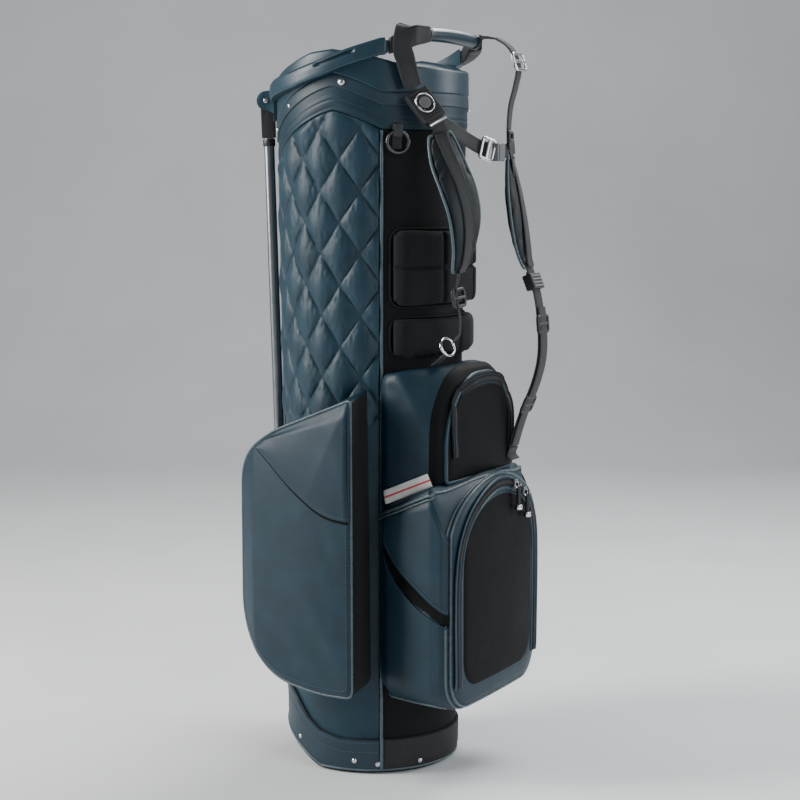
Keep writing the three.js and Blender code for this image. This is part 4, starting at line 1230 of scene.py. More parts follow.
def make_side_pockets():
    outline = resampled(soft_outline(SIDE_RIM, SIDE_RIM_RADII, 9), 300)
    rim = Rim(outline)

    def place(flat, lift=0.0):
        x, z = flat[..., 0], flat[..., 1]
        rho = rim.inside(flat)
        dome_up = crowned(rho, 6.0 * MM, 0.06, 4.0 * MM)
        sag = 2.6 * MM * np.exp(-((z - 0.20) / 0.07) ** 2) * (1 - rho**2).clip(0)
        along = np.stack([x * 9 + z * 5, z * 13 - x * 6], -1)
        drape = 1.5 * MM * noise(along, 1.0, 6) * (1 - rho**3).clip(0)
        fold = 1.0 * MM * np.sin(95 * (x + 0.55 * z)) * np.exp(-((rho - 0.72) / 0.16) ** 2) * \
            (noise(flat, 14, 9) * 0.5 + 0.35)
        y = side_plane(x) - dome_up - sag - drape - fold - lift
        return np.stack([x, y, z], -1)

    rings = np.concatenate([np.linspace(1, 0.88, 16), np.linspace(0.86, 0.03, 46)])
    face = cap(rim, place, rings)
    pair("side_pocket_face", face, "leather", sharp=70, nodes=["side_pocket"])

    # The flank runs from the rim back to the tube.
    rim_points = place(outline)
    base_x = np.interp(outline[:, 0], mm([-115, 61]), mm([-69, 49.5]))
    base_z = rim.centre[1] + (outline[:, 1] - rim.centre[1]) * 0.985
    base_z += np.interp(outline[:, 0], mm([-80, 60]), mm([5, 12])) * eased((outline[:, 1] - 0.385) / 0.02)
    base_y = -np.sqrt((radius_at(base_z) - 0.5 * MM) ** 2 - base_x**2)
    base = np.stack([base_x, base_y, base_z], -1)
    away = outline - rim.centre
    outward = unit(np.stack([away[:, 0], 0 * base_x, away[:, 1] * 0.6], -1))
    steps = np.linspace(0, 1, 26)[:, None, None]
    slack = 3.2 * MM * np.sin(math.pi * steps) + 0.8 * MM * np.sin(3 * math.pi * steps)
    flank = base[None] + (rim_points - base)[None] * steps + outward[None] * slack
    flank = flank + outward[None] * (0.7 * MM * noise(flank, 28, 12)[..., None] * np.sin(math.pi * steps))
    front = (outline[:, 0] > 0.0545) & (outline[:, 1] > 0.118) & (outline[:, 1] < 0.466)
    inside_run = np.flatnonzero(front)
    run = np.arange(inside_run[0] - 1, inside_run[-1] + 2)
    rest = np.arange(inside_run[-1] + 1, inside_run[0] + len(outline)) % len(outline)
    pair("side_pocket_gusset", sheet(flank[:, run]), "mesh_pad")
    pair("side_pocket_flank", sheet(flank[:, rest]), "leather")
    out = unit(rim_points - base)
    cord = rope(rim_points + outward * 0.9 * MM - out * 0.4 * MM, 1.7 * MM, 10, closed=True)
    pair("side_pocket_piping", cord, "piping")
    inner = rim.centre + (outline - rim.centre) * 0.955
    seam = place(inner, 0.12 * MM)
    rows = [stitch_row(np.concatenate([seam, seam[:1]]), (0, -1, 0))]

    # The slanted opening: the panel above it overlaps the pocket below.
    slash = spline(SIDE_SLASH, 90)
    top_x = np.interp(np.linspace(0, 1, 90), [0, 1], [slash[0, 0], 0.0585])
    rim_top = np.interp(top_x, mm([-86, -66, 60]), mm([404, 420, 468]))
    high = np.stack([top_x, np.maximum(rim_top - 1.5 * MM, slash[:, 1] + 0.4 * MM)], -1)
    flap = patch(slash, high, place, 46, 3.2 * MM, 0.018)
    pair("side_pocket_flap", sheet(flap), "leather", sharp=70)
    # A black cord tucked under the flap's edge: painted shadow in the gap beneath the overlap.
    edge = place(slash - mm((0.5, 1.1)), 0.5 * MM)
    pair("side_pocket_slash_shadow_cord", rope(edge, 1.4 * MM, 9), "black_leather")
    rows.append(stitch_row(place(slash + mm((2.6, 4.2)), 3.6 * MM), (0, -1, 0)))
    pair("side_pocket_stitching", merged(rows), "thread")


BALL_WIDTHS = mm([(58, 84), (64, 94), (80, 107.5), (110, 114), (150, 121), (164, 121.5), (171, 119),
                  (175, 114)])
BALL_SLASH = mm([(72, 309), (80, 292), (91, 276), (106, 262), (127, 246), (145, 233), (160, 224),
                 (170, 219)])
BALL_LIP = mm([(76, 280), (84, 264), (95, 250), (113, 234), (131, 221), (149, 212), (160, 207), (170, 203)])
BALL_LOW = 97 * MM
BALL_FRONT = 175.2 * MM


def ball_top(x):
    return 338 * MM + (x - 76 * MM) * 0.42


def ball_crest(x):
    """The top of the ball pocket, which rolls down a little at its front."""
    return ball_top(x) - 8.0 * MM * eased((x - 0.158) / 0.017)


def ball_drop(x, share):
    """How far the top falls away at a share of the half width: a square edge that turns into an arch."""
    arch = eased((x - 0.145) / 0.028)
    corner = 7 * MM * np.clip((share - 0.93) / 0.07, 0, 1) ** 2
    return (1 - arch) * corner + arch * (42 * MM * share**1.95 + 16 * MM * share**9)


def front_face_x(rim, flat, front, crown, fillet):
    rho = rim.inside(flat)
    bend = 4 * MM * (1 - (flat[..., 0] / 0.114) ** 2)
    drape = 0.9 * MM * noise(flat, 15, 21) * (1 - rho**3).clip(0)
    return front + bend + crowned(rho, crown, 0.10, fillet) + drape


def box_pocket(levels, section_at, front, crown, points=320, fillet=5 * MM):
    """Levels run out from the tube; the last one is the rim of the front face."""
    loops = []
    for x in levels:
        flat = resampled(section_at(x), points)
        loops.append(np.stack([np.full(points, x), flat[:, 0], flat[:, 1]], -1))
    loops = np.array(loops)
    rim = Rim(loops[-1][:, 1:])

    def place(flat, lift=0.0):
        x = front_face_x(rim, flat, front, crown, fillet) + lift
        return np.stack([x, flat[..., 0], flat[..., 1]], -1)

    # Ease the last levels into the front face.
    shift = place(loops[-1][:, 1:])[:, 0] - loops[-1][:, 0]
    weight = eased((levels - levels[0]) / (levels[-1] - levels[0])) ** 2
    loops[..., 0] += shift[None] * weight[:, None]
    return loops, rim, place


def flank_bulge(loops, amount, seed):
    """Push a pocket's flanks out a little between their seams, with soft folds."""
    centre = loops.mean((0, 1))
    away = loops - centre
    away[..., 0] = 0
    away = unit(away)
    x = loops[..., 0]
    t = (x - x.min()) / np.ptp(x)
    hump = np.sin(math.pi * np.clip(t, 0, 1)) ** 0.8
    soft = 0.9 * MM * noise(loops, 24, seed) + 0.5 * MM * noise(loops, 60, seed + 1)
    return loops + away * ((amount * hump + soft * hump)[..., None])


def make_ball_pocket():
    def section(x):
        w = float(np.interp(x, *BALL_WIDTHS.T))
        low = BALL_LOW + 3 * MM * float(eased((0.075 - x) / 0.02))
        low += 4 * MM * float(eased((x - 0.165) / 0.012))
        share = np.linspace(-1, 1, 121)
        top = np.stack([share * w, ball_crest(x) - ball_drop(x, np.abs(share))], -1)
        bend = np.linspace(0, math.pi / 2, 12)
        left = np.stack([40 * MM * (1 - np.sin(bend)) - w, low + 40 * MM * (1 - np.cos(bend))], -1)
        right = (left * (-1, 1))[::-1]
        return np.concatenate([[(0, low)], left, top, right])

    levels = np.concatenate([np.linspace(0.058, 0.145, 27), np.linspace(0.147, BALL_FRONT, 18)])
    loops, rim, place = box_pocket(levels, section, BALL_FRONT, 3.0 * MM)
    loops = flank_bulge(loops, 3.4 * MM, 31)
    # The mouth of the slanted pocket is a shallow hollow in each flank.
    x, y, z = loops[..., 0], loops[..., 1], loops[..., 2]
    lip_z = np.interp(x, *BALL_LIP.T)
    slash_z = np.interp(x, *BALL_SLASH.T)
    between = eased((z - lip_z) / (4 * MM)) * eased((slash_z + 8 * MM - z) / (4 * MM))
    flank = eased((np.abs(y) - 0.09) / 0.01) * eased((0.172 - x) / 0.006)
    loops[..., 1] -= np.sign(y) * 3.2 * MM * between * flank
    add("ball_pocket_flanks", sheet(loops, True), "leather", sharp=70, nodes=["ball_pocket"])
    rings = np.concatenate([np.linspace(1, 0.88, 12), np.linspace(0.87, 0.825, 5)])
    border = np.array([place(rim.centre + (rim.outline - rim.centre) * r) for r in rings])
    add("ball_pocket_front_border", sheet(border, True), "leather", sharp=70)

    def panel_place(flat):
        return place(flat, 1.4 * MM * eased((0.83 - rim.inside(flat)) / 0.04) - 0.2 * MM)

    panel = cap(rim, panel_place, np.linspace(0.84, 0.03, 44))
    add("ball_pocket_front_panel", panel, "black_leather", sharp=70)

    edge = loops[-1]
    away = unit((edge - edge.mean(0)) * (0, 1, 1))
    cords = [rope(edge + away * 0.6 * MM + mm((0.6, 0, 0)), 1.9 * MM, 10, closed=True),
             rope(loops[-3] + away * 1.0 * MM, 1.4 * MM, 10, closed=True)]
    add("ball_pocket_front_piping", merged(cords), "piping")
    border_seam = place(rim.centre + (rim.outline - rim.centre) * 0.855, 0.3 * MM)
    rows = [stitch_row(np.concatenate([border_seam, border_seam[:1]]), (1, 0, 0))]
    add("ball_pocket_stitching", merged(rows), "thread")
    return place


def make_ball_flanks():
    """Piping and the slanted opening on each flank of the ball pocket."""

    def width_at(x):
        hump = np.sin(math.pi * np.clip((x - 0.058) / 0.117, 0, 1)) ** 0.8
        return np.interp(x, *BALL_WIDTHS.T) + 3.4 * MM * hump

    def flank_place(flat, lift=0.0):
        return np.stack([flat[..., 0], -(width_at(flat[..., 0]) + 0.5 * MM + lift), flat[..., 1]], -1)

    # The top edge keeps straight, then turns in over the arch to its crest.
    x = np.concatenate([np.linspace(0.062, 0.149, 50), np.linspace(0.150, 0.1715, 44)])
    share = 0.985 * (1 - eased((x - 0.147) / 0.026)) + 0.02
    top = ball_crest(x) - ball_drop(x, share) + 0.6 * MM
    top_line = np.stack([x, -share * width_at(x), top], -1)
    # The lower piping lies on the rounded bottom corner.
    x = np.linspace(0.064, 0.160, 60)
    low_line = np.stack([x, -(width_at(x) - 17.8 * MM), BALL_LOW + 5.4 * MM + 0 * x], -1)
    cords = [rope(top_line, 1.8 * MM, 10), rope(top_line[:52] - mm((0, 1.6, 4.6)), 1.3 * MM, 9),
             rope(low_line, 1.8 * MM, 10)]
    pair("ball_pocket_flank_piping", merged(cords), "piping")
    slash = spline(BALL_SLASH, 80)
    high_x = np.linspace(slash[0, 0], 0.170, 80)
    high_z = ball_crest(high_x) - ball_drop(high_x, 1.0) - 3 * MM
    high = np.stack([high_x, np.maximum(high_z, slash[:, 1] + 4 * MM)], -1)
    flap = patch(slash, high, flank_place, 44, 3.0 * MM, 0.022, 0.05)
    pair("ball_pocket_flap", sheet(flap), "leather", sharp=70)
    lip = spline(BALL_LIP, 70)
    gap = spline(BALL_SLASH, 70) - lip
    # A black sheet set back in the slanted opening: painted shade inside the pocket's mouth.
    mouth = np.array([flank_place(lip + gap * t, -1.2 * MM - 1.4 * MM * math.sin(math.pi * t))
                      for t in np.linspace(0, 1.15, 9)])
    pair("ball_pocket_mouth_shade_sheet", sheet(mouth), "black_leather")
    binding = rope(flank_place(lip, 0.3 * MM), 1.3 * MM, 9)
    pair("ball_pocket_lip_binding", binding, "leather")
    flap_row = stitch_row(flank_place(slash + mm((2.0, 4.4)), 4.6 * MM), (0, -1, 0))
    pair("ball_pocket_flank_stitching", flap_row, "thread")


VALUABLES_WIDTHS = mm([(56, 84), (66, 94), (76, 99.5), (110, 101), (136, 101.5), (145, 98), (150, 93),
                       (152.5, 88)])
VALUABLES_FRONT = 152.5 * MM
ZIP_STITCH = mm([3.4, 2.4, 0.35])


def make_valuables_pocket():
    def section(x):
        w = float(np.interp(x, *VALUABLES_WIDTHS.T))
        low = float(ball_top(x)) + 1.2 * MM
        arch = float(eased((x - 0.085) / 0.06))
        top = float(np.interp(x, mm([56, 140, 148, 152.5]), mm([496, 506, 502, 496])))
        return soft_outline(
            [(0, low), (-w, low), (-w, top - 8 * MM - 46 * MM * arch), (-w + 5 * MM + 42 * MM * arch, top),
             (w - 5 * MM - 42 * MM * arch, top), (w, top - 8 * MM - 46 * MM * arch), (w, low)],
            mm([0, 5, 10 + 34 * arch, 10 + 34 * arch, 10 + 34 * arch, 10 + 34 * arch, 5]), 9)

    levels = np.concatenate([np.linspace(0.056, 0.140, 28), np.linspace(0.1425, VALUABLES_FRONT, 8)])
    loops, rim, place = box_pocket(levels, section, VALUABLES_FRONT, 3.0 * MM, 280, 4 * MM)
    loops = flank_bulge(loops, 2.6 * MM, 41)
    for name, part, look in (("flanks", loops[:27], "leather"), ("gusset", loops[26:], "black_leather")):
        add(f"valuables_pocket_{name}", sheet(part, True), look, sharp=70, nodes=["valuables_pocket"])
    add("valuables_pocket_front", cap(rim, place, np.linspace(1, 0.03, 46)), "black_leather", sharp=70)
    edge = loops[-1]
    away = unit((edge - edge.mean(0)) * (0, 1, 1))
    cord = rope(edge + away * 0.5 * MM + mm((0.3, 0, 0)), 2.8 * MM, 12, closed=True)
    add("valuables_pocket_piping", cord, "collar")
    arch = mm([(-74, 400), (-76, 440), (-68, 466), (-48, 482), (-22, 488), (0, 489)])
    make_zip("valuables_zip", arch, place, "zip_tape", [])

    x = np.linspace(0.074, 0.137, 36)
    hump = 2.6 * MM * np.sin(math.pi * (x - 0.056) / 0.0965) ** 0.8
    y = -(np.interp(x, *VALUABLES_WIDTHS.T) + hump + 1.3 * MM)
    line = np.stack([x, y, ball_top(x) + 12.5 * MM], -1)
    pair("trim_stripe_tape", band(line, 16.5 * MM, 1.3 * MM, (0, 0, 1)), "trim", nodes=["trim_stripe"])


def make_zip(name, half_arch, place, edging, nodes):
    """A zip that runs up one side of a front face, over the top and down the other."""
    whole = np.concatenate([half_arch, (half_arch * (-1, 1))[-2::-1]])
    flat = spline(whole, 400)
    route = place(flat, 1.0 * MM)
    along = tangents(route)
    across = unit(np.cross(along, np.array([1.0, 0, 0])))
    add(f"{name}_tape", band(route, 15 * MM, 1.2 * MM, across), "zip_tape", nodes=nodes)
    lips = [rope(route + across * s * 7.0 * MM + mm((0.5, 0, 0)), 1.3 * MM, 9) for s in (-1, 1)]
    add(f"{name}_lips", merged(lips), edging)
    rows = [stitch_row(route + across * s * 5.0 * MM + mm((0.7, 0, 0)), (1, 0, 0), *ZIP_STITCH)
            for s in (-1, 1)]
    add(f"{name}_stitching", merged(rows), "thread")
    reach = reach_along(route)
    teeth = []
    for k, s in enumerate(np.arange(2 * MM, reach[-1] - 2 * MM, 1.5 * MM)):
        at = at_reach(s, reach, route) + mm((0.9, 0, 0))
        side = unit(at_reach(s, reach, across))
        lean = 0.5 * MM if k % 2 else -0.5 * MM
        ends = np.array([at - side * (2.0 * MM - lean), at + side * (2.0 * MM + lean)])
        mid = ends.mean(0) + mm((0.7, 0, 0))
        teeth.append(rope(np.array([ends[0], mid, ends[1]]), 0.55 * MM, 6))
    add(f"{name}_coil", merged(teeth), "plastic")


def make_zips(place):
    arch = mm([(-105, 128), (-106.5, 200), (-106, 262), (-99, 300), (-81, 328), (-56, 346), (-27, 358),
               (0, 362)])
    make_zip("ball_zip", arch, place, "collar", ["ball_zip"])
    for name in ("inner", "outer"):
        softened(f"zip_slider_{name}", 0.9 * MM, "steel")
        softened(f"zip_pull_{name}", 0.8 * MM, "zip_tape", body=f"pull_{name}")
        low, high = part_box(f"zip_pull_{name}")
        middle = (low + high) / 2
        tip = turned(mm([0, 0.3, 1.2, 5.6, 6.4, 6.8]), (middle.x, middle.y, low.z + 5.5 * MM), (0, 0, -1),
                     mm([1.4, 4.6, 5.0, 5.0, 4.4, 2.0]), 20)
        cord_x = high.x - 0.8 * MM
        braid = []
        for dy in (-1.6 * MM, 1.6 * MM):
            y = middle.y + dy
            braid.append(rope([(cord_x, y, high.z - 4 * MM), (cord_x + 0.6 * MM, y, middle.z),
                               (cord_x, middle.y + dy * 0.6, low.z + 4 * MM)], 1.2 * MM, 8))
        add(f"zip_pull_tip_{name}", tip, "steel", body=f"pull_{name}")
        add(f"zip_pull_cord_{name}", merged(braid), "web_plain", body=f"pull_{name}")


# ---------- padded pieces ----------

PAD_SHRINK = 1.2 * MM


def puffed(node, look, voxel, cap_move):
    """The soft CAD solid, remeshed and blown up a little as cloth, then smoothed."""
    bm = bmesh.new()
    bm.from_mesh(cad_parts[node].data)
    bmesh.ops.remove_doubles(bm, verts=bm.verts, dist=1e-6)
    bmesh.ops.recalc_face_normals(bm, faces=bm.faces)
    bm.normal_update()
    for v in bm.verts:
        v.co -= v.normal * PAD_SHRINK
    mesh = bpy.data.meshes.new(node + "_pad")
    bm.to_mesh(mesh)
    bm.free()
    piece = bpy.data.objects.new(node + "_pad", mesh)
    bpy.context.scene.collection.objects.link(piece)
    bpy.context.view_layer.objects.active = piece
    remesh = piece.modifiers.new("remesh", "REMESH")
    remesh.mode = "VOXEL"
    remesh.voxel_size = voxel
    smooth = piece.modifiers.new("smooth", "SMOOTH")
    smooth.factor = 0.5
    smooth.iterations = 4
    settle(piece)
    start = corners_of(piece.data)
    cloth = piece.modifiers.new("cloth", "CLOTH")
    cloth.settings.use_pressure = True
    cloth.settings.uniform_pressure_force = 4
    cloth.settings.effector_weights.gravity = 0
    cloth.settings.quality = 5
    for step in range(1, 21):
        bpy.context.scene.frame_set(step)
    blown = piece.evaluated_get(bpy.context.evaluated_depsgraph_get()).data
    moved = corners_of(blown) - start
    piece.modifiers.remove(cloth)
    bpy.context.scene.frame_set(1)
    far = np.linalg.norm(moved, axis=1, keepdims=True)
    moved *= np.minimum(1, cap_move / np.maximum(far, 1e-9))
    piece.data.vertices.foreach_set("co", (start + moved).ravel())
    piece.data.update()
    sub = piece.modifiers.new("subdivision", "SUBSURF")
    sub.levels = sub.render_levels = 1
    settle(piece)
    piece.data.shade_smooth()
    piece.data.materials.clear()
    piece.data.materials.append(LOOK[look])
    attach(piece, "bag")
    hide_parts(node)
    return piece


def corners_of(mesh):
    flat = np.zeros(len(mesh.vertices) * 3)
    mesh.vertices.foreach_get("co", flat)
    return flat.reshape(-1, 3)


def settle(piece):
    """Apply every modifier on a piece."""
    shown = piece.evaluated_get(bpy.context.evaluated_depsgraph_get())
    mesh = bpy.data.meshes.new_from_object(shown)
    piece.modifiers.clear()
    piece.data = mesh


def make_hip_pads():
    for node in ("hip_pad_upper", "hip_pad_lower"):
        piece = puffed(node, "mesh", 4.5 * MM, 5 * MM)
        low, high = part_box(node)
        points = corners_of(piece.data)
        turn = np.degrees(np.arctan2(points[:, 1], points[:, 0]))
        r = np.hypot(points[:, 0], points[:, 1])
        shell = radius_at(points[:, 2])
        proud = np.clip((r - shell) / (14 * MM), 0, 1)
        middle = (low.z + high.z) / 2
        # Sewn channels divide the pad into ribs.
        valley = np.zeros(len(points))
        lines = (-17.0, 17.0) if node == "hip_pad_upper" else (0.0,)
        for at in lines:
            valley = np.maximum(valley, np.exp(-(((turn - at) * 2.0) / 2.4) ** 2))
        across = (middle,) if node == "hip_pad_upper" else ()
        for at in across:
            valley = np.maximum(valley, np.exp(-((points[:, 2] - at) / (2.2 * MM)) ** 2))
        dip = 5.0 * MM * valley * proud
        scale = (r - dip) / r
        points[:, 0] *= scale
        points[:, 1] *= scale
        piece.data.vertices.foreach_set("co", points.ravel())
        piece.data.update()
        # A bound edge where the pad is sewn to the panel.
        floor, top = low.z + 2 * MM, high.z - 2 * MM
        corners = [(turn * 2 * MM, z) for turn, z in ((-50, floor), (50, floor), (50, top), (-50, top))]
        outline = resampled(soft_outline(corners, 17 * MM, 8), 200)
        turns, z = outline[:, 0] / (2 * MM), outline[:, 1]
        cord = rope(on_tube(turns, z, 2.0 * MM), 1.7 * MM, 9, closed=True)
        add(f"{node}_binding", cord, "zip_tape")


def make_towel_ring():
    low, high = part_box("towel_ring")
    middle = np.array((low + high) / 2)
    a = math.radians(-46)
    side = np.array([-math.sin(a), math.cos(a), 0])
    turn = full_turn(72)[:, None]
    ring = middle + 13 * MM * (np.cos(turn) * side + np.sin(turn) * UP)
    add("towel_ring_steel", rope(ring, 2 * MM, 14, closed=True), "gunmetal", body="ring",
        nodes=["towel_ring"])
    softened("towel_loop", 0.5 * MM, "web_plain", segments=2)
    # The loop's tail is sewn to the panel above the ring.
    out = np.array([math.cos(a), math.sin(a), 0])
    z = np.linspace(0.797, 0.7665, 20)
    tail = out * (radius_at(0.78) + 1.8 * MM) + UP * z[:, None]
    add("towel_tab", band(tail, 11 * MM, 1.6 * MM, side), "web")


# ---------- shoulder straps ----------

NEAR_TOP = mm([(96, -92, 874), (99, -89.5, 859), (101.6, -86, 846), (103, -83, 837.5)])
NEAR_PAD = mm([(131, -70, 783), (142, -70, 750), (156, -70, 718), (164, -69, 686), (162, -67, 650),
               (153, -64, 622)])
NEAR_LOW = mm([(153, -63.5, 617), (150, -62, 596), (154, -60, 566), (153, -59, 548), (146, -58, 540)])
FAR_TOP = mm([(122, 71, 906), (136, 78, 903), (151, 83, 891), (160, 84, 868), (157, 83, 846),
              (151, 82, 822), (149, 81, 796), (149, 81, 770)])
FAR_PAD = mm([(150, 81, 760), (154, 81, 722), (161, 82, 682), (169, 82, 644), (176, 83, 622)])
FAR_LOW = mm([(178, 83, 616), (188, 83, 592), (194, 83, 556), (195, 83, 514), (187, 82, 478),
              (172, 80, 440), (161, 78, 404), (157, 77, 383)])
CROSS = mm([(128, -56, 796), (132, -36, 789), (135, -8, 779), (140, 14, 771), (147, 30, 766)])
SLANT = np.array([0.7, 0.7, 0.0])
ACROSS = np.array([0.0, 1.0, 0.0])
ROLLED = np.array([0.47, 0.756, 0.457])
TURNED = np.array([-0.3, 0.95, 0.0])
EDGE_ON = np.array([-0.45, 0.89, 0.0])
WEB_STITCH = mm([3.6, 2.6, 0.36])


def web_band(name, route, width, nodes, across=ACROSS, steps=90):
    """Webbing with sewn selvedges, which stands for its plain CAD strip."""
    points = spline(route, steps)
    add(f"{name}_woven", band(points, width, 2.2 * MM, across), "web", nodes=nodes)
    _, side, out = frames_along(points, across)
    half = np.broadcast_to(np.asarray(width, float), len(points))[:, None] / 2
    rows = [stitch_row(points + side * half * s * 0.80 + out * f * (2.2 * MM / 2), out * f, *WEB_STITCH)
            for s in (-1, 1) for f in (-1, 1)]
    add(f"{name}_stitching", merged(rows), "dark_thread")
    return points


def triglide(name, at, along, across, width, look="plastic"):
    """A flat slide buckle: a rounded frame with a middle bar, round the webbing."""
    along, across = unit(np.asarray(along, float)), np.asarray(across, float)
    across = unit(across - along * np.dot(along, across))
    out = np.cross(along, across)
    half_w, half_l = width / 2 + 3.4 * MM, 10 * MM
    corners = [(-half_w, -half_l), (half_w, -half_l), (half_w, half_l), (-half_w, half_l)]
    loop = resampled(soft_outline(corners, 3.5 * MM, 6), 64)
    ring = at + loop[:, :1] * across + loop[:, 1:] * along + out * 2.4 * MM
    frame_part = rope(ring, 2.1 * MM, 10, closed=True)
    bar = turned(np.array([-half_w, half_w]), at + out * 3.0 * MM, across, mm([2.0, 2.0]), 12)
    add(name, merged([frame_part, bar]), look)


def turning(start, end, count):
    """Across directions that turn evenly from one to another along a strap."""
    t = np.linspace(0, 1, count)[:, None]
    return start * (1 - t) + end * t


def pad_width(t):
    return (26 + 26 * np.maximum(np.sin(math.pi * t), 0) ** 0.7) * MM


def pad_trim(name, piece, route, side_start, side_end):
    """Bound edges, a centre strip of webbing and its stitching, on the outer face of a shoulder pad."""
    points = spline(route, 120)
    t = np.linspace(0, 1, 120)[:, None]
    across = turning(side_start, side_end, 120)
    _, side, out = frames_along(points, across)
    facing = np.sign(np.sum(out * unit(points * (1, 1, 0)), -1, keepdims=True).mean())
    out = out * facing
    width = pad_width(t)
    thick = (8 + 5 * np.sin(math.pi * t)) * MM
    loop = np.concatenate([points + side * width * 0.5, (points - side * width * 0.5)[::-1]])
    loop = resampled(loop, 260)
    add(f"{name}_binding", rope(loop, 1.9 * MM, 10, closed=True), "piping")
    # The centre webbing lies on the pad, wherever the cloth has swelled to.
    skin = piece.data
    surface = BVHTree.FromPolygons([v.co for v in skin.vertices], [p.vertices for p in skin.polygons])
    reach = np.zeros(len(points))
    for k, (at, way) in enumerate(zip(points, out)):
        hit = surface.ray_cast(Vector(at + way * 40 * MM), Vector(-way))
        reach[k] = (40 * MM - hit[3]) if hit[0] else thick[k, 0] / 2
    smooth = np.convolve(np.pad(reach, 6, mode="edge"), np.ones(13) / 13, "valid")[:, None]
    lifted = points + out * (np.maximum(smooth, reach[:, None]) + 0.5 * MM)
    add(f"{name}_centre_web", band(lifted, 17 * MM, 1.5 * MM, across), "web")
    rows = [stitch_row(lifted + side * s * 7 * MM + out * 0.8 * MM, out) for s in (-1, 1)]
    add(f"{name}_stitching", merged(rows), "dark_thread")


def make_webbing():
    web_band("strap_top_near", NEAR_TOP, 24 * MM, ["strap_web_top_near"], turning(SLANT, ROLLED, 90))
    upper = web_band("strap_top_far", FAR_TOP, np.linspace(18, 24, 120) * MM, ["strap_web_top_far"],
                     turning(ACROSS, TURNED, 120), 120)
    lower_near = web_band("strap_low_near", NEAR_LOW, 22 * MM, ["strap_web_low_near"], EDGE_ON)
    lower_far = web_band("strap_low_far", FAR_LOW, 22 * MM, ["strap_web_low_far"], steps=160)
    web_band("cross_strap", CROSS, 18 * MM, ["cross_strap"], UP)
    # The near strap is looped over the handle bracket.
    wrap = mm([(96.5, -91.5, 871), (95, -94.5, 880), (95.5, -95, 892), (96, -90, 905), (95.5, -83, 909)])
    add("strap_wrap_near", band(spline(wrap, 40), 24 * MM, 2.2 * MM, SLANT), "web")
    # The far strap comes out from under the end of the grip.
    wrap = mm([(110, 60, 893), (113, 64, 901), (118, 68, 905), (124, 72, 906)])
    add("strap_wrap_far", band(spline(wrap, 40), 18 * MM, 2.2 * MM, ACROSS), "web")
    return upper, lower_near, lower_far


def make_shoulder_pads():
    for route, start, label in ((NEAR_PAD, SLANT, "near"), (FAR_PAD, TURNED, "far")):
        name = f"shoulder_pad_{label}"
        piece = puffed(name, "pad", 4.2 * MM, 4 * MM)
        pad_trim(name, piece, route, start, ACROSS)


def make_buckle():
    softened("strap_buckle", 1.3 * MM, "plastic")
    softened("buckle_button", 0.8 * MM, "plastic_grey", body="button")
    spin = Matrix.Rotation(math.radians(-45), 3, "Z") @ Matrix.Rotation(math.radians(-24), 3, "Y")
    spin = spin @ Matrix.Rotation(math.radians(30), 3, "X")
    at = Vector(mm((116, -79, 816)))

    def on_buckle(points):
        return np.array([tuple(at + spin @ Vector(p)) for p in np.asarray(points)])

    turn = full_turn(56)
    rim = np.stack([np.full(56, 5.1 * MM), 10.4 * MM * np.cos(turn), (2 + 12.2 * np.sin(turn)) * MM], -1)
    add("buckle_rim", rope(on_buckle(rim), 1.2 * MM, 10, closed=True), "steel")
    bar = on_buckle(mm([(2.6, -12, -24.5), (3.4, 0, -24.5), (2.6, 12, -24.5)]))
    add("buckle_bar", rope(spline(bar, 20), 2.0 * MM, 10), "steel")
    ribs = [rope(on_buckle(mm([(5.0, -11, z), (5.6, 0, z), (5.0, 11, z)])), 0.8 * MM, 8)
            for z in (-17.4, -15, 17.6)]
    add("buckle_ribs", merged(ribs), "plastic")
    # Short webbing from the buckle to the top of the near pad.
    low_end = on_buckle(mm([(-1, 0, -27)]))[0]
    middle = low_end * 0.55 + NEAR_PAD[0] * 0.45 + mm((2, 0, 0))
    join = np.array([low_end, middle, NEAR_PAD[0] + mm((1, 0, -4))])
    add("strap_join_near", band(spline(join, 40), 20 * MM, 2 * MM, turning(ROLLED, SLANT, 40)), "web")


def make_strap_joins():
    softened("cross_clip", 1.6 * MM, "plastic_grey", segments=4)
    softened("far_adjuster", 1.8 * MM, "plastic", segments=4)
    joins = {
        "clip": ([(153, 50, 764), (153, 60, 765), (153.5, 72, 768), (153, 88, 771)], 17, (0, 0, 1)),
        "far_top": ([(149, 81, 776), (152, 81, 765), (155.5, 81, 752), (157.5, 81, 735)], 21, TURNED),
        "far_low": ([(173, 82.5, 634), (177.5, 83, 622), (182, 83, 610), (184, 83, 602)], 21, ACROSS),
        "near_low": ([(157, -65, 632), (155, -64, 620), (152, -63, 608)], 20, EDGE_ON),
    }
    for label, (route, width, across) in joins.items():
        add(f"strap_join_{label}", band(spline(mm(route), 30), width * MM, 2.4 * MM, across), "web")
    # Ribs on the slide adjuster of the far strap and on the clip.
    lean = math.radians(22.6)
    along = np.array([-math.sin(lean), 0, math.cos(lean)])
    face = np.array([math.cos(lean), 0, math.sin(lean)])
    centre = mm((183.4, 83, 604))
    ribs = [turned(mm([-13, 13]), centre + face * f * 6.2 * MM + along * d * MM, ACROSS, mm([1.1, 1.1]), 10)
            for f in (-1, 1) for d in (-6.5, -2.2, 2.2, 6.5)]
    ribs += [turned(mm([-9, 9]), mm((158, 43.5 + d, 764)), (0, 0, 1), mm([1, 1]), 10)
             for d in (-6, -3, 0, 3, 6)]
    add("adjuster_ribs", merged(ribs), "plastic_grey")


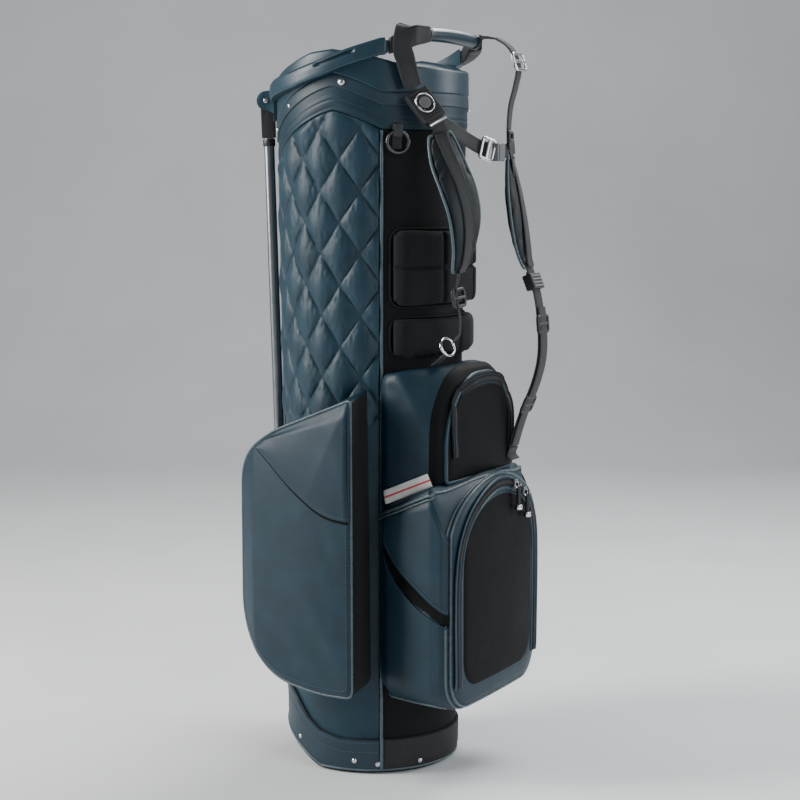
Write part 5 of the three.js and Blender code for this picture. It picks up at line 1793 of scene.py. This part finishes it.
def make_d_ring():
    softened("d_ring_tab", 0.4 * MM, "web_plain", segments=2)
    low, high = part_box("d_ring_near")
    centre = np.array((low + high) / 2)
    tilt = math.radians(70)
    first = np.array([math.cos(tilt), 0, -math.sin(tilt)])
    turn = full_turn(56)[:, None]
    ring = centre + 11 * MM * np.cos(turn) * first + 16 * MM * np.sin(turn) * ACROSS
    add("d_ring_steel", rope(ring, 1.8 * MM, 14, closed=True), "steel", nodes=["d_ring_near"])


def make_slides(upper, lower_near, lower_far):
    """Slide buckles on the straps, and the ends of webbing that fold back through them."""
    triglide("triglide_cross", spline(CROSS, 60)[56], CROSS[4] - CROSS[3], (0, 0, 1), 18 * MM, "steel")
    along_low = tangents(lower_far)
    for step, label in ((44, "middle"), (112, "low")):
        triglide(f"triglide_far_{label}", lower_far[step], along_low[step], ACROSS, 22 * MM)
    along_up = tangents(upper)
    triglide("triglide_far_top", upper[40], along_up[40], ACROSS, 22 * MM, "steel")
    triglide("triglide_far_clip", upper[112], along_up[112], TURNED, 24 * MM)
    triglide("triglide_near_low", lower_near[30], unit(lower_near[31] - lower_near[29]), ACROSS, 22 * MM)
    # A second layer of webbing folds back through the far slides.
    out = np.cross(along_low, ACROSS)
    facing = 1.0 if out[60][0] > 0 else -1.0
    tail = lower_far[30:150] + out[30:150] * facing * 3.0 * MM
    add("strap_low_far_tail", band(tail, 21 * MM, 1.8 * MM, ACROSS), "web")
    # A stitched keeper where the far strap leaves the pocket.
    keeper = lower_far[-1] + mm([(4, 0, 12), (1, 0, 3), (6, 0, -3)])
    add("strap_keeper_far", band(spline(keeper, 30), 26 * MM, 2.4 * MM, ACROSS), "web")


make_body()
make_collar()
make_arms()
make_inside()
make_boot()
make_legs()
make_handle()
make_side_pockets()
front_place = make_ball_pocket()
make_ball_flanks()
make_valuables_pocket()
make_zips(front_place)
make_hip_pads()
make_towel_ring()
webs = make_webbing()
make_shoulder_pads()
make_buckle()
make_strap_joins()
make_d_ring()
make_slides(*webs)
